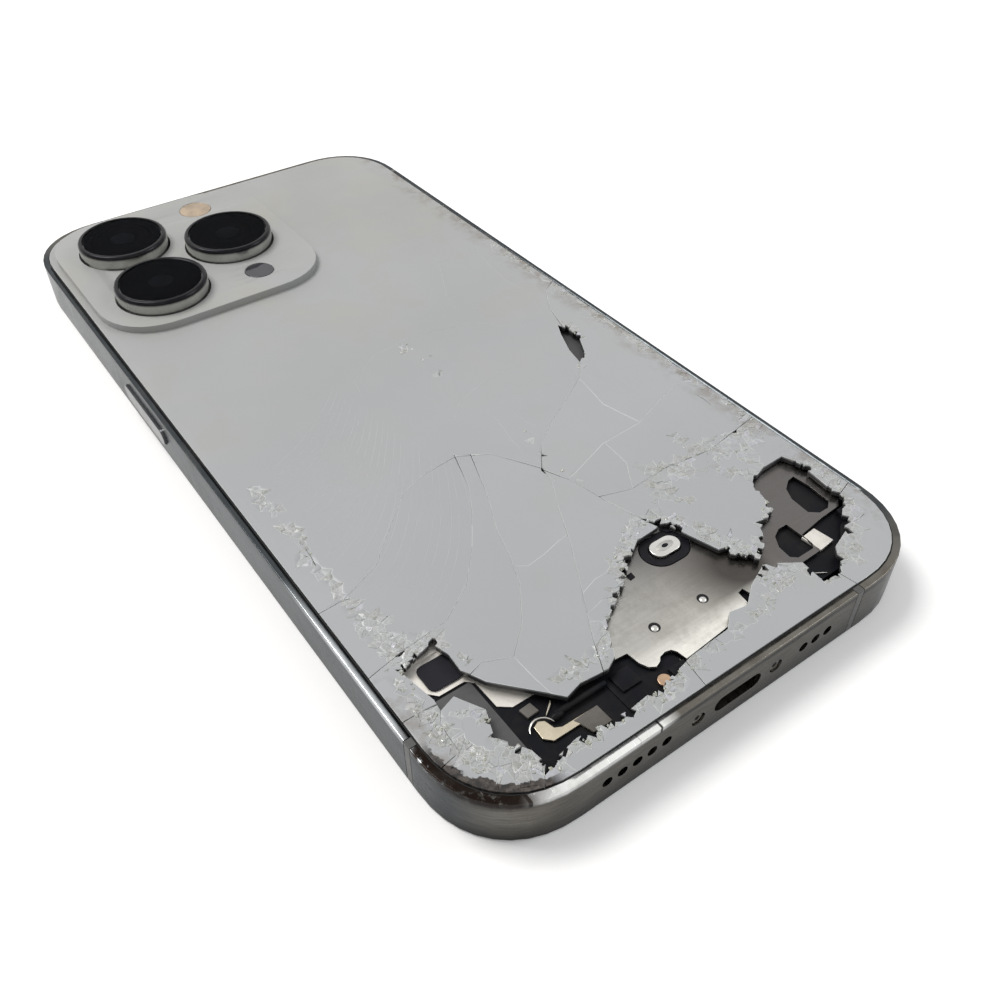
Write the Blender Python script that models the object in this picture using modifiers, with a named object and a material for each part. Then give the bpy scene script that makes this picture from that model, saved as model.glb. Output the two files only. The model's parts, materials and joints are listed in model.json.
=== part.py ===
"""A three-camera phone lying on its screen, with its back glass shattered and partly gone.

Metres, +Z up. The origin is the middle of the face it rests on, which is the screen glass.
+Y points at the camera end and -Y at the charging end. Seen from behind, the cameras are at -X.
"""

import math

import bmesh
import bpy
from mathutils import Matrix, Vector

MM = 0.001

# The body: a steel band round two flat glasses
BODY_WIDTH = 71.5 * MM
BODY_LENGTH = 147.5 * MM
BODY_THICKNESS = 7.85 * MM
CORNER_RADIUS = 13.0 * MM
CORNER_EXPONENT = 2.25
CORNER_STEPS = 10
FRONT_GLASS_ROUND = 0.15 * MM
EDGE_ROUND = 0.8 * MM
GLASS_THICKNESS = 0.8 * MM
GLASS_PROUD = 0.2 * MM
RIM_WIDTH = 0.95 * MM
WALL = 2.6 * MM

# Gaps: between bonded or resting pieces, round a sliding piece, and under a thin skin
SEAT_GAP = 0.3 * MM
RUNNING_GAP = 0.15 * MM
SKIN_GAP = 0.1 * MM
OVERSHOOT = 1.0 * MM

# The stack from the screen up
PANEL_THICKNESS = 1.0 * MM
CHASSIS_THICKNESS = 0.3 * MM
SUPPORT_THICKNESS = 0.35 * MM
BOARD_THICKNESS = 0.6 * MM
SKIN_THICKNESS = 0.1 * MM

# Room left between the buttons' inner ends and the modules
SIDE_ROOM = 0.7 * MM

# The camera corner, measured from the body's camera side and camera end
LENS_FROM_SIDE = 13.55 * MM
LENS_FROM_END = 15.65 * MM
LENS_PITCH = 18.1 * MM
LENS_OFFSET = 16.3 * MM
RING_RADIUS = 7.7 * MM
RING_WALL = 1.6 * MM
RING_HEIGHT = 3.55 * MM
RING_ROUND = 0.4 * MM
WINDOW_THICKNESS = 0.5 * MM
WINDOW_LIP = 0.75 * MM
PLATEAU_FROM_SIDE = 2.15 * MM
PLATEAU_FROM_END = 3.1 * MM
PLATEAU_WIDTH = 39.2 * MM
PLATEAU_LENGTH = 40.8 * MM
PLATEAU_HEIGHT = 1.2 * MM
PLATEAU_ROUND = 0.6 * MM
MODULE_SIZE = 13.4 * MM
BARREL_RADIUS = 5.7 * MM
FLASH_RADIUS = 2.9 * MM
FLASH_FROM_END = 9.1 * MM
SENSOR_RADIUS = 2.5 * MM
SENSOR_FROM_END = 37.0 * MM
COVER_THICKNESS = 0.7 * MM

# Side controls: places are along the body from its middle
BUTTON_HEIGHT = 2.6 * MM
BUTTON_PROUD = 0.4 * MM
BUTTON_ROUND = 0.25 * MM
BUTTON_TRAVEL = 0.3 * MM
FLANGE_WIDTH = 0.4 * MM
FLANGE_THICKNESS = 0.6 * MM
POWER_PLACE = 16.3 * MM
POWER_LENGTH = 16.0 * MM
VOLUME_UP_PLACE = 32.5 * MM
VOLUME_DOWN_PLACE = 19.5 * MM
VOLUME_LENGTH = 10.6 * MM
SWITCH_PLACE = 46.0 * MM
SWITCH_LENGTH = 5.6 * MM
SWITCH_HEIGHT = 1.7 * MM
SWITCH_TRAVEL = 1.0 * MM
TRAY_PLACE = -2.0 * MM
TRAY_LENGTH = 15.0 * MM
TRAY_HEIGHT = 1.6 * MM
TRAY_DEPTH = 13.5 * MM
TRAY_TONGUE = 0.8 * MM
TRAY_TONGUE_SIDE = 1.0 * MM
TRAY_CORNER = 1.0 * MM
CARD_LENGTH = 9.4 * MM
CARD_WIDTH = 8.4 * MM
CARD_CORNER = 0.8 * MM

# The charging end: places are across the body from its middle
PORT_WIDTH = 7.5 * MM
PORT_HEIGHT = 2.4 * MM
PORT_DEPTH = 6.6 * MM
PORT_SHELL = 0.4 * MM
SCREW_PLACE = 6.3 * MM
SCREW_HEAD_RADIUS = 0.85 * MM
SCREW_SHANK_RADIUS = 0.45 * MM
SCREW_HEAD_DEPTH = 0.7 * MM
SCREW_LENGTH = 2.4 * MM
SCREW_SUNK = 0.25 * MM
SCREW_OVERLAP = 0.15 * MM
SOCKET_RADIUS = 0.45 * MM
SOCKET_DEPTH = 0.35 * MM
SOUND_HOLE_RADIUS = 0.72 * MM
SOUND_HOLE_FIRST = 11.1 * MM
SOUND_HOLE_PITCH = 2.15 * MM
SPEAKER_HOLES = 5
MICROPHONE_HOLES = 3

# Plastic strips let into the band, and where they cross it
STRIP_WIDTH = 1.1 * MM
STRIP_SIDE_FROM_END = 14.3 * MM
STRIP_END_FROM_SIDE = 15.3 * MM

# The rooms inside
END_ZONE = 21.0 * MM
BATTERY_WIDTH = 39.0 * MM
BATTERY_CORNER = 2.0 * MM
BATTERY_ROUND = 0.5 * MM
BOX_CORNER = 0.8 * MM
CAN_ROUND = 0.3 * MM
ROOM_GAP = 0.6 * MM
SPEAKER_FROM_PORT = 1.3 * MM
SPEAKER_SHELF = 1.9 * MM
HAPTIC_FROM_PORT = 5.1 * MM
HAPTIC_INSET = 2.0 * MM
EARPIECE_LENGTH = 7.0 * MM
COIL_RADIUS = 22.5 * MM
COIL_WIDTH = 10.5 * MM
COIL_PLACE = -4.0 * MM
MAGNET_WIDTH = 2.4 * MM
MAGNET_OPENING = 40.0

# Breaks in the glass
CRACK_WIDTH = 0.25 * MM

# What the missing glass shows, measured from the middle of the charging end's edge
POST_PLACE = (6.75 * MM, 20.1 * MM)
POST_LENGTH = 4.5 * MM
POST_WIDTH = 2.7 * MM
BUSH_WALL = 1.25 * MM
POST_RISE = 0.55 * MM
POST_DENT_RADIUS = 0.6 * MM
POST_DENT_DEPTH = 0.25 * MM
DIMPLES = ((-3.1 * MM, 11.2 * MM), (4.7 * MM, 11.1 * MM))
DIMPLE_RADIUS = 0.65 * MM
DIMPLE_DEPTH = 0.2 * MM
TUBE_RADIUS = 0.4 * MM

# The steel sheet's edge and windows, and the thin parts beside it: millimetres across from the middle,
# and up from the charging end's edge
PLATE_EDGE = (
    (-16.5, 11.0),
    (-8.3, 10.2),
    (-8.1, 8.4),
    (-7.6, 7.3),
    (-6.8, 6.8),
    (-6.0, 7.1),
    (-5.5, 7.6),
    (-4.6, 7.8),
    (-3.8, 7.6),
    (-3.4, 7.0),
    (-3.2, 5.6),
    (4.4, 6.2),
    (8.6, 6.6),
    (8.9, 9.2),
    (9.8, 9.4),
    (10.2, 7.6),
    (13.0, 8.2),
    (18.2, 8.0),
    (22.4, 8.1),
    (22.9, 11.4),
    (27.4, 12.0),
    (31.0, 12.2),
    (33.6, 14.4),
    (33.6, 30.0),
    (-16.5, 30.0),
)
WINDOW_UPPER = (
    (26.8, 13.8),
    (27.0, 16.8),
    (27.9, 18.6),
    (29.4, 19.6),
    (30.6, 19.8),
    (30.9, 17.4),
    (30.7, 13.6),
    (29.6, 12.8),
    (28.0, 12.8),
)
WINDOW_LOWER = (
    (18.6, 9.6),
    (18.8, 11.6),
    (19.8, 13.2),
    (21.2, 13.9),
    (22.7, 13.9),
    (22.8, 9.6),
    (22.2, 8.9),
    (19.4, 8.9),
)
FOIL_EDGE = (
    (-31.0, 23.9),
    (-18.0, 23.9),
    (-15.6, 14.0),
    (-17.6, 12.3),
    (-23.2, 12.3),
    (-24.6, 13.4),
    (-24.7, 17.4),
    (-25.6, 18.3),
    (-29.0, 18.3),
    (-30.0, 19.4),
)
FILM_EDGE = ((-30.8, 17.9), (-25.1, 17.9), (-25.1, 5.0), (-30.8, 5.0))
CONTACT_EDGE = (
    (-23.0, 8.7),
    (-22.2, 9.1),
    (-21.5, 8.7),
    (-21.2, 7.4),
    (-20.4, 7.0),
    (-15.6, 6.9),
    (-15.5, 4.4),
    (-18.1, 4.4),
    (-18.6, 6.1),
    (-22.2, 6.1),
    (-23.1, 7.0),
)
PAD_BOX = (-29.5, -24.9, 18.9, 22.9)
MESH_BOX = (-2.4, 4.6, 4.7, 5.7)
TUBE_LEFT = -20.2
TUBE_RIGHT = -13.0
TUBE_UP = 8.6
COPPER_PLACE = (-7.2, 5.0)
COPPER_RADIUS = 0.85 * MM
COPPER_THICKNESS = 0.4 * MM
CONTACT_THICKNESS = 0.3 * MM
PAD_CORNER = 0.9 * MM
PAD_THICKNESS = 0.15 * MM
MESH_CORNER = 0.4 * MM
MESH_THICKNESS = 0.2 * MM

# Worked out from the values above
GLASS_INSET = RIM_WIDTH + SEAT_GAP
CAVITY_INSET = WALL + SEAT_GAP
INNER_INSET = WALL + SEAT_GAP + BUTTON_TRAVEL + FLANGE_THICKNESS + SIDE_ROOM
MIDDLE = BODY_THICKNESS / 2
FRAME_LOW = GLASS_PROUD
FRAME_HIGH = BODY_THICKNESS - GLASS_PROUD
FRONT_LEDGE = GLASS_THICKNESS + SEAT_GAP
BACK_LEDGE = BODY_THICKNESS - GLASS_THICKNESS - SEAT_GAP
BACK_GLASS_LOW = BODY_THICKNESS - GLASS_THICKNESS
PANEL_TOP = FRONT_LEDGE + PANEL_THICKNESS
CHASSIS_LOW = PANEL_TOP + SEAT_GAP
FLOOR = CHASSIS_LOW + CHASSIS_THICKNESS + SEAT_GAP
SUPPORT_LOW = BACK_LEDGE - SUPPORT_THICKNESS
DECK = SUPPORT_LOW - SEAT_GAP
SKIN_LOW = DECK + SKIN_GAP
SKIN_HIGH = SKIN_LOW + SKIN_THICKNESS
SIDE = BODY_WIDTH / 2
END = BODY_LENGTH / 2
GLASS_HALF_X = SIDE - GLASS_INSET
PLATEAU_TOP = BODY_THICKNESS + PLATEAU_HEIGHT
ROOM_LOW = -END + WALL + END_ZONE
BATTERY_LEFT = -SIDE + INNER_INSET
BOARD_LEFT = BATTERY_LEFT + BATTERY_WIDTH + ROOM_GAP
BOARD_RIGHT = SIDE - INNER_INSET
LENS_X = -SIDE + LENS_FROM_SIDE
LENS_Y = END - LENS_FROM_END
ROOM_HIGH = LENS_Y - LENS_PITCH - MODULE_SIZE / 2 - ROOM_GAP
LENSES = {
    "upper": (LENS_X, LENS_Y),
    "lower": (LENS_X, LENS_Y - LENS_PITCH),
    "side": (LENS_X + LENS_OFFSET, LENS_Y - LENS_PITCH / 2),
}
FLASH = (LENS_X + LENS_OFFSET, END - FLASH_FROM_END)
SENSOR = (LENS_X + LENS_OFFSET, END - SENSOR_FROM_END)

# Outline of the missing glass: percent of the glass's half width across, and millimetres up from the
# charging end's edge
MISSING_GLASS = (
    (-90.6, 22.3),
    (-88.0, 23),
    (-76.0, 24.2),
    (-73.6, 21.6),
    (-74.1, 18.9),
    (-70.0, 16),
    (-59.0, 11.7),
    (-52.6, 9.1),
    (-46.0, 9.7),
    (-35.0, 9.3),
    (-30.0, 10.2),
    (-22.6, 14.7),
    (-8.0, 17.6),
    (4.0, 20.8),
    (12.0, 22.6),
    (26.6, 22.9),
    (29.6, 19.4),
    (34.4, 14.2),
    (41.6, 11.1),
    (48.0, 12.4),
    (54.4, 15),
    (65.0, 16.3),
    (67.4, 19.4),
    (72.4, 22.1),
    (80.0, 22.9),
    (91.4, 23),
    (94.0, 20.4),
    (92.0, 14),
    (90.0, 11.7),
    (84.6, 10.2),
    (78.6, 7.9),
    (69.0, 6.8),
    (60.6, 3.4),
    (51.6, 3.7),
    (52.6, 7.5),
    (40.4, 10),
    (30.0, 8.5),
    (22.0, 6.5),
    (14.6, 7),
    (9.0, 5.3),
    (-10.0, 4.9),
    (-20.0, 4.2),
    (-40.0, 3.6),
    (-60.0, 4.2),
    (-73.0, 3.4),
    (-74.0, 5.9),
    (-80.6, 9.5),
    (-76.8, 12.9),
    (-82.0, 16.3),
    (-88.6, 15.5),
    (-88.0, 17.2),
)
SMALL_HOLE = (
    (77.4, 67.4),
    (80.0, 65.5),
    (79.4, 62.4),
    (74.0, 58.8),
    (66.2, 56.8),
    (68.6, 60.7),
    (73.6, 65),
)

# Breaks that run right through, given the same way
CRACKS = (
    ((104, 79.5), (92, 77.1), (83.2, 72), (78.6, 66.5)),
    (
        (67.4, 57.4), (60, 54.2), (46.4, 51.3), (30.4, 48.2), (17.4, 45), (7.8, 40.5),
        (7, 38.2), (0, 33.7), (-8.6, 27.4), (-21, 19.7), (-31, 13.6), (-38, 8.5),
    ),
    ((7.6, 40.7), (13.4, 36), (16.6, 30.2), (21.4, 24.4), (25, 20.8)),
    (
        (-104, 35.6), (-90, 35.8), (-72.4, 38.5), (-58, 43.3), (-45, 47.5), (-32, 49.2),
        (-16, 49.8), (-3, 47.2), (8.6, 40.4),
    ),
    (
        (-104, 23.7), (-86, 25), (-66.6, 25.8), (-52, 28.9), (-38, 34.6), (-29, 39.2),
        (-21.6, 43.7), (-15.6, 50.3),
    ),
    (
        (-72.6, 17.8), (-67, 18.4), (-57, 16.9), (-46.4, 20.2), (-36, 25.5), (-30.6, 30.2),
        (-27, 34.6), (-18.6, 40.8), (-10, 49.1),
    ),
    ((15.6, 31.7), (29, 30.2), (48, 30.7), (70, 29.8), (104, 31.7)),
    ((-104, 16.8), (-94, 16.8), (-86.6, 16.5)),
    ((-104, 9.4), (-92, 10.2), (-91, 14.3), (-87.6, 16)),
    ((-70, 4.9), (-75, 3.1), (-81, 0.5)),
    ((59, 4.2), (62, -1.7)),
    ((87, 12.4), (104, 14.3)),
    ((-12, 5.6), (-15, -1.7)),
)

# A point inside each piece of glass that is left, given the same way, which gives the piece its name
GLASS_PIECES = {
    "back_glass_main": (0, 88.2),
    "glass_shard_left_arc": (-60, 34.6),
    "glass_shard_lower_arc": (-50, 25.2),
    "glass_shard_long": (-10, 36),
    "glass_shard_centre": (4, 30.2),
    "glass_shard_right_upper": (50, 41.1),
    "glass_shard_right_lower": (45, 23),
    "glass_shard_right_corner": (80, 4.9),
    "glass_shard_bottom_right": (38, 4.2),
    "glass_shard_bottom_left": (-45, 2.3),
    "glass_shard_left_corner": (-87, 8.5),
    "glass_shard_left_border": (-96, 12.9),
}


def new_collection(name):
    collection = bpy.data.collections.new(name)
    bpy.context.scene.collection.children.link(collection)
    return collection


def clear_scene():
    for old in list(bpy.data.objects):
        bpy.data.objects.remove(old)


def finish(name, colour, roughness, metallic=0.0, transmission=0.0):
    """A Principled material in the part's own colour."""
    material = bpy.data.materials.new(name)
    material.use_nodes = True
    shader = material.node_tree.nodes["Principled BSDF"]
    shader.inputs["Base Color"].default_value = (*colour, 1.0)
    shader.inputs["Roughness"].default_value = roughness
    shader.inputs["Metallic"].default_value = metallic
    shader.inputs["Transmission Weight"].default_value = transmission
    material.diffuse_color = (*colour, 1.0)
    return material


def rounded_outline(half_x, half_y, radius, exponent=2.0, steps=4, centre=(0.0, 0.0)):
    """A rectangle's outline with round corners. An exponent over 2 makes them a little squarer."""
    points = []
    for sign_x, sign_y in ((1, 1), (-1, 1), (-1, -1), (1, -1)):
        arc = []
        for step in range(steps + 1):
            angle = math.pi / 2 * step / steps
            reach_x = half_x - radius + radius * math.cos(angle) ** (2 / exponent)
            reach_y = half_y - radius + radius * math.sin(angle) ** (2 / exponent)
            arc.append((centre[0] + sign_x * reach_x, centre[1] + sign_y * reach_y))
        if sign_x * sign_y < 0:
            arc.reverse()
        points += arc
    return without_doubles(points)


def without_doubles(points):
    """The outline without points that lie on the one before."""
    kept = []
    for point in points:
        if not kept or math.dist(point, kept[-1]) > 1e-6:
            kept.append(point)
    if math.dist(kept[0], kept[-1]) < 1e-6:
        kept.pop()
    return kept


def body_outline(inset):
    """The body's outline in plan, moved in by the inset."""
    return rounded_outline(SIDE - inset, END - inset, CORNER_RADIUS - inset, CORNER_EXPONENT, CORNER_STEPS)


def box_outline(left, right, low, high, radius=0.0, steps=3):
    """A rectangle between four sides, with or without round corners."""
    if radius == 0.0:
        return [(right, high), (left, high), (left, low), (right, low)]
    centre = ((left + right) / 2, (low + high) / 2)
    return rounded_outline((right - left) / 2, (high - low) / 2, radius, 2.0, steps, centre)


def stadium(length, width, centre=(0.0, 0.0), steps=5):
    """A bar's outline with half-round ends, long in its first direction."""
    return rounded_outline(length / 2, width / 2, width / 2, 2.0, steps, centre)


def circle(radius, centre=(0.0, 0.0), steps=24):
    turn = 2 * math.pi / steps
    return [arc_point(radius, turn * i, centre) for i in range(steps)]


def arc_point(radius, angle, centre):
    return (centre[0] + radius * math.cos(angle), centre[1] + radius * math.sin(angle))


def on_glass(points):
    """Points in percent of the glass's half width and millimetres from the charging end, as places."""
    return [(across / 100 * GLASS_HALF_X, up * MM - END) for across, up in points]


def from_charging_end(points):
    """Points in millimetres across from the middle and up from the charging end's edge, as places."""
    return [(x * MM, y * MM - END) for x, y in points]


def place(obj, material=None, cutter=False):
    """Puts an object in its collection, with its material, or as a hidden cutter."""
    if cutter:
        CUTTERS.objects.link(obj)
        obj.hide_render = True
        obj.display_type = "WIRE"
    else:
        PARTS.objects.link(obj)
        obj.data.materials.append(material)
    return obj


def slab(name, outline, low, high, material=None, holes=(), turn=None):
    """A flat outline raised from one height to another, as a mesh. The turn lays it along another axis."""
    curve = bpy.data.curves.new(name, "CURVE")
    curve.dimensions = "2D"
    curve.fill_mode = "BOTH"
    curve.extrude = (high - low) / 2
    for loop in (outline, *holes):
        spline = curve.splines.new("POLY")
        spline.points.add(len(loop) - 1)
        for point, (x, y) in zip(spline.points, loop):
            point.co = (x, y, 0.0, 1.0)
        spline.use_cyclic_u = True
    guide = bpy.data.objects.new(name + "_guide", curve)
    bpy.context.scene.collection.objects.link(guide)
    graph = bpy.context.evaluated_depsgraph_get()
    mesh = bpy.data.meshes.new_from_object(guide.evaluated_get(graph))
    mesh.transform(Matrix.Translation((0, 0, (low + high) / 2)))
    if turn:
        mesh.transform(turn)
    shape = bmesh.new()
    shape.from_mesh(mesh)
    bmesh.ops.remove_doubles(shape, verts=shape.verts, dist=1e-6)
    bmesh.ops.recalc_face_normals(shape, faces=shape.faces)
    shape.to_mesh(mesh)
    shape.free()
    mesh.name = name
    mesh.materials.clear()
    bpy.data.objects.remove(guide)
    return place(bpy.data.objects.new(name, mesh), material, cutter=material is None)


# An outline of (y, z) raised along +X, and one of (x, z) raised along -Y
ALONG_X = Matrix(((0, 0, 1, 0), (1, 0, 0, 0), (0, 1, 0, 0), (0, 0, 0, 1)))
ALONG_Y = Matrix(((1, 0, 0, 0), (0, 0, -1, 0), (0, 1, 0, 0), (0, 0, 0, 1)))


def along_x(name, outline, low, high, material=None):
    return slab(name, outline, low, high, material, turn=ALONG_X)


def along_y(name, outline, low, high, material=None):
    return slab(name, outline, -high, -low, material, turn=ALONG_Y)


def turned(name, profile, centre, material, steps=36):
    """A profile of (radius, height), down its outer side first, turned about the upright through centre."""
    mesh = bpy.data.meshes.new(name)
    shape = bmesh.new()
    corners = [shape.verts.new((radius, 0.0, height)) for radius, height in profile]
    on_axis = min(radius for radius, height in profile) == 0.0
    for start, end in zip(corners, corners[1:] if on_axis else corners[1:] + corners[:1]):
        shape.edges.new((start, end))
    shape.to_mesh(mesh)
    shape.free()
    piece = place(bpy.data.objects.new(name, mesh), material)
    piece.location = (*centre, 0.0)
    screw = piece.modifiers.new("turn", "SCREW")
    screw.steps = steps
    screw.render_steps = steps
    screw.use_merge_vertices = True
    screw.merge_threshold = 1e-6
    return piece


def combine(piece, other, operation):
    change = piece.modifiers.new(other.name, "BOOLEAN")
    change.operation = operation
    change.object = other
    return piece


def cut(piece, *cutters):
    for cutter in cutters:
        combine(piece, cutter, "DIFFERENCE")
    return piece


def join(piece, *others):
    for other in others:
        combine(piece, other, "UNION")
    return piece


def round_edges(piece, width, segments=2, angle=50):
    bevel = piece.modifiers.new("round", "BEVEL")
    bevel.width = width
    bevel.segments = segments
    bevel.limit_method = "ANGLE"
    bevel.angle_limit = math.radians(angle)
    return piece


def keep_inside(piece, inset, low, high):
    """Trims a piece to the space inside the band."""
    room = slab(piece.name + "_room", body_outline(inset), low - OVERSHOOT, high + OVERSHOOT)
    return combine(piece, room, "INTERSECT")


def set_origin(piece, point):
    """Puts a piece's origin at a point, without moving its shape."""
    piece.data.transform(Matrix.Translation(-Vector(point)))
    piece.location = point
    return piece


def bake(piece):
    """Turns a piece's modifiers into its mesh."""
    graph = bpy.context.evaluated_depsgraph_get()
    mesh = bpy.data.meshes.new_from_object(piece.evaluated_get(graph))
    piece.modifiers.clear()
    piece.data = mesh
    return piece


def make_front_glass():
    """The screen's cover glass, whole, face down."""
    glass = slab("front_glass", body_outline(GLASS_INSET), 0.0, GLASS_THICKNESS, CLEAR_GLASS)
    round_edges(glass, FRONT_GLASS_ROUND, 1)


def make_display_panel():
    outline = body_outline(CAVITY_INSET)
    slab("display_panel", outline, FRONT_LEDGE, PANEL_TOP, BLACK_PLASTIC)


def make_chassis_plate():
    """The thin steel floor under the battery and the board, short of the charging end's modules."""
    top = CHASSIS_LOW + CHASSIS_THICKNESS
    plate = slab("chassis_plate", box_outline(-SIDE, SIDE, ROOM_LOW, END), CHASSIS_LOW, top, SHEET_STEEL)
    keep_inside(plate, INNER_INSET, CHASSIS_LOW, top)


def button_outline(length, height, centre_y, grow=0.0):
    return stadium(length + 2 * grow, height + 2 * grow, (centre_y, MIDDLE))


def side_control(name, side, centre_y, length, height, proud, slot_extra=0.0):
    """A control that passes through the band, with a flange inside so that it can't fall out."""
    outer = SIDE + proud
    inner = SIDE - WALL - SEAT_GAP
    bottom = inner - FLANGE_THICKNESS
    shaft = sorted((side * outer, side * (inner - FLANGE_THICKNESS / 2)))
    flange = sorted((side * inner, side * bottom))
    piece = along_x(name, button_outline(length, height, centre_y), *shaft, POLISHED_STEEL)
    round_edges(piece, BUTTON_ROUND, 2)
    plate = along_x(name + "_flange", button_outline(length, height, centre_y, FLANGE_WIDTH), *flange)
    join(piece, plate)
    set_origin(piece, (side * outer, centre_y, MIDDLE))
    slot = button_outline(length, height, centre_y, RUNNING_GAP)
    if slot_extra:
        slot = box_outline(
            centre_y - length / 2 - RUNNING_GAP,
            centre_y + length / 2 + RUNNING_GAP,
            MIDDLE - height / 2 - slot_extra - RUNNING_GAP,
            MIDDLE + height / 2 + slot_extra + RUNNING_GAP,
            height / 2,
            5,
        )
    walls = sorted((side * (SIDE + OVERSHOOT), side * (SIDE - WALL - OVERSHOOT)))
    return along_x(name + "_slot", slot, *walls)


def make_side_controls():
    """The four controls on the band. Gives back the slots that they need."""
    press = (BUTTON_HEIGHT, BUTTON_PROUD)
    return [
        side_control("power_button", -1, POWER_PLACE, POWER_LENGTH, *press),
        side_control("volume_up_button", 1, VOLUME_UP_PLACE, VOLUME_LENGTH, *press),
        side_control("volume_down_button", 1, VOLUME_DOWN_PLACE, VOLUME_LENGTH, *press),
        side_control("ring_switch", 1, SWITCH_PLACE, SWITCH_LENGTH, SWITCH_HEIGHT, 0.0, SWITCH_TRAVEL / 2),
    ]


def make_card_tray():
    """The card tray: a cap that fills its slot in the band, and a flat tongue with the card's pocket."""
    cap = stadium(TRAY_LENGTH, TRAY_HEIGHT, (TRAY_PLACE, MIDDLE))
    tray = along_x("card_tray", cap, SIDE - WALL, SIDE, POLISHED_STEEL)
    half = TRAY_LENGTH / 2 - TRAY_TONGUE_SIDE
    tongue_side = (SIDE - TRAY_DEPTH, SIDE - WALL / 2)
    tongue_outline = box_outline(*tongue_side, TRAY_PLACE - half, TRAY_PLACE + half, TRAY_CORNER)
    tongue = slab("card_tray_tongue", tongue_outline, MIDDLE - TRAY_TONGUE / 2, MIDDLE + TRAY_TONGUE / 2)
    pocket_middle = SIDE - WALL - (TRAY_DEPTH - WALL) / 2
    pocket_outline = box_outline(
        pocket_middle - CARD_WIDTH / 2,
        pocket_middle + CARD_WIDTH / 2,
        TRAY_PLACE - CARD_LENGTH / 2,
        TRAY_PLACE + CARD_LENGTH / 2,
        CARD_CORNER,
    )
    pocket = slab("card_pocket", pocket_outline, MIDDLE - TRAY_TONGUE, MIDDLE + TRAY_TONGUE)
    join(tray, tongue)
    cut(tray, pocket)
    slot = stadium(TRAY_LENGTH + 2 * RUNNING_GAP, TRAY_HEIGHT + 2 * RUNNING_GAP, (TRAY_PLACE, MIDDLE))
    set_origin(tray, (SIDE, TRAY_PLACE, MIDDLE))
    return along_x("card_tray_slot", slot, SIDE - WALL - OVERSHOOT, SIDE + OVERSHOOT)


def hole_in_charging_wall(name, radius, x, steps=16):
    return along_y(name, circle(radius, (x, MIDDLE), steps), -END - OVERSHOOT, -END + WALL + OVERSHOOT)


def charging_wall_cutters():
    """Sound holes, the charging mouth and the screws' seats."""
    cutters = [
        along_y(
            "port_mouth",
            stadium(PORT_WIDTH, PORT_HEIGHT, (0.0, MIDDLE), 6),
            -END - OVERSHOOT,
            -END + WALL + OVERSHOOT,
        )
    ]
    for side, count in ((-1, SPEAKER_HOLES), (1, MICROPHONE_HOLES)):
        for number in range(count):
            x = side * (SOUND_HOLE_FIRST + number * SOUND_HOLE_PITCH)
            cutters.append(hole_in_charging_wall(f"sound_hole_{side}_{number}", SOUND_HOLE_RADIUS, x))
    seat_end = -END + SCREW_SUNK + SCREW_HEAD_DEPTH + RUNNING_GAP
    for side in (-1, 1):
        x = side * SCREW_PLACE
        head = circle(SCREW_HEAD_RADIUS + RUNNING_GAP, (x, MIDDLE), 20)
        cutters.append(along_y(f"screw_seat_{side}", head, -END - OVERSHOOT, seat_end))
        cutters.append(hole_in_charging_wall(f"screw_bore_{side}", SCREW_SHANK_RADIUS + RUNNING_GAP, x, 12))
    return cutters


def strip_boxes(gap):
    """Where the plastic strips cross the band: one box outline for each, grown by the gap."""
    half = STRIP_WIDTH / 2 + gap
    depth = RIM_WIDTH + gap
    side_y = END - STRIP_SIDE_FROM_END
    end_x = SIDE - STRIP_END_FROM_SIDE
    across = (SIDE - depth, SIDE + OVERSHOOT)
    along = (END - depth, END + OVERSHOOT)
    return {
        "antenna_strip_left": box_outline(-across[1], -across[0], -side_y - half, -side_y + half),
        "antenna_strip_right": box_outline(*across, side_y - half, side_y + half),
        "antenna_strip_charging_end": box_outline(end_x - half, end_x + half, -along[1], -along[0]),
        "antenna_strip_camera_end": box_outline(-end_x - half, -end_x + half, *along),
    }


def band_blank(name, material):
    blank = slab(name, body_outline(0.0), FRAME_LOW, FRAME_HIGH, material)
    return round_edges(blank, EDGE_ROUND, 3)


def make_frame_band(slots):
    """The polished steel band, with a rebate for each glass, and its plastic strips."""
    band = band_blank("frame_band", POLISHED_STEEL)
    low, high = FRAME_LOW - OVERSHOOT, FRAME_HIGH + OVERSHOOT
    cavity = slab("band_cavity", body_outline(WALL), low, high)
    front = slab("front_rebate", body_outline(RIM_WIDTH), low, FRONT_LEDGE)
    back = slab("back_rebate", body_outline(RIM_WIDTH), BACK_LEDGE, high)
    cut(band, cavity, front, back, *slots, *charging_wall_cutters())
    for name, outline in strip_boxes(SKIN_GAP).items():
        cut(band, slab(name + "_slot", outline, low, high))
    for name, outline in strip_boxes(0.0).items():
        strip = band_blank(name, STRIP_PLASTIC)
        combine(strip, slab(name + "_limits", outline, low, high), "INTERSECT")


def make_bottom_screws():
    """Two screws beside the charging mouth, each with a plain five-sided socket."""
    for side, name in ((-1, "bottom_screw_left"), (1, "bottom_screw_right")):
        x = side * SCREW_PLACE
        face = -END + SCREW_SUNK
        neck = face + SCREW_HEAD_DEPTH
        screw = along_y(name, circle(SCREW_HEAD_RADIUS, (x, MIDDLE), 20), face, neck, SCREW_STEEL)
        shank_outline = circle(SCREW_SHANK_RADIUS, (x, MIDDLE), 12)
        shank = along_y(name + "_shank", shank_outline, neck - SCREW_OVERLAP, face + SCREW_LENGTH)
        socket_outline = circle(SOCKET_RADIUS, (x, MIDDLE), 5)
        socket = along_y(name + "_socket", socket_outline, face - OVERSHOOT, face + SOCKET_DEPTH)
        join(screw, shank)
        cut(screw, socket)


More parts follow.
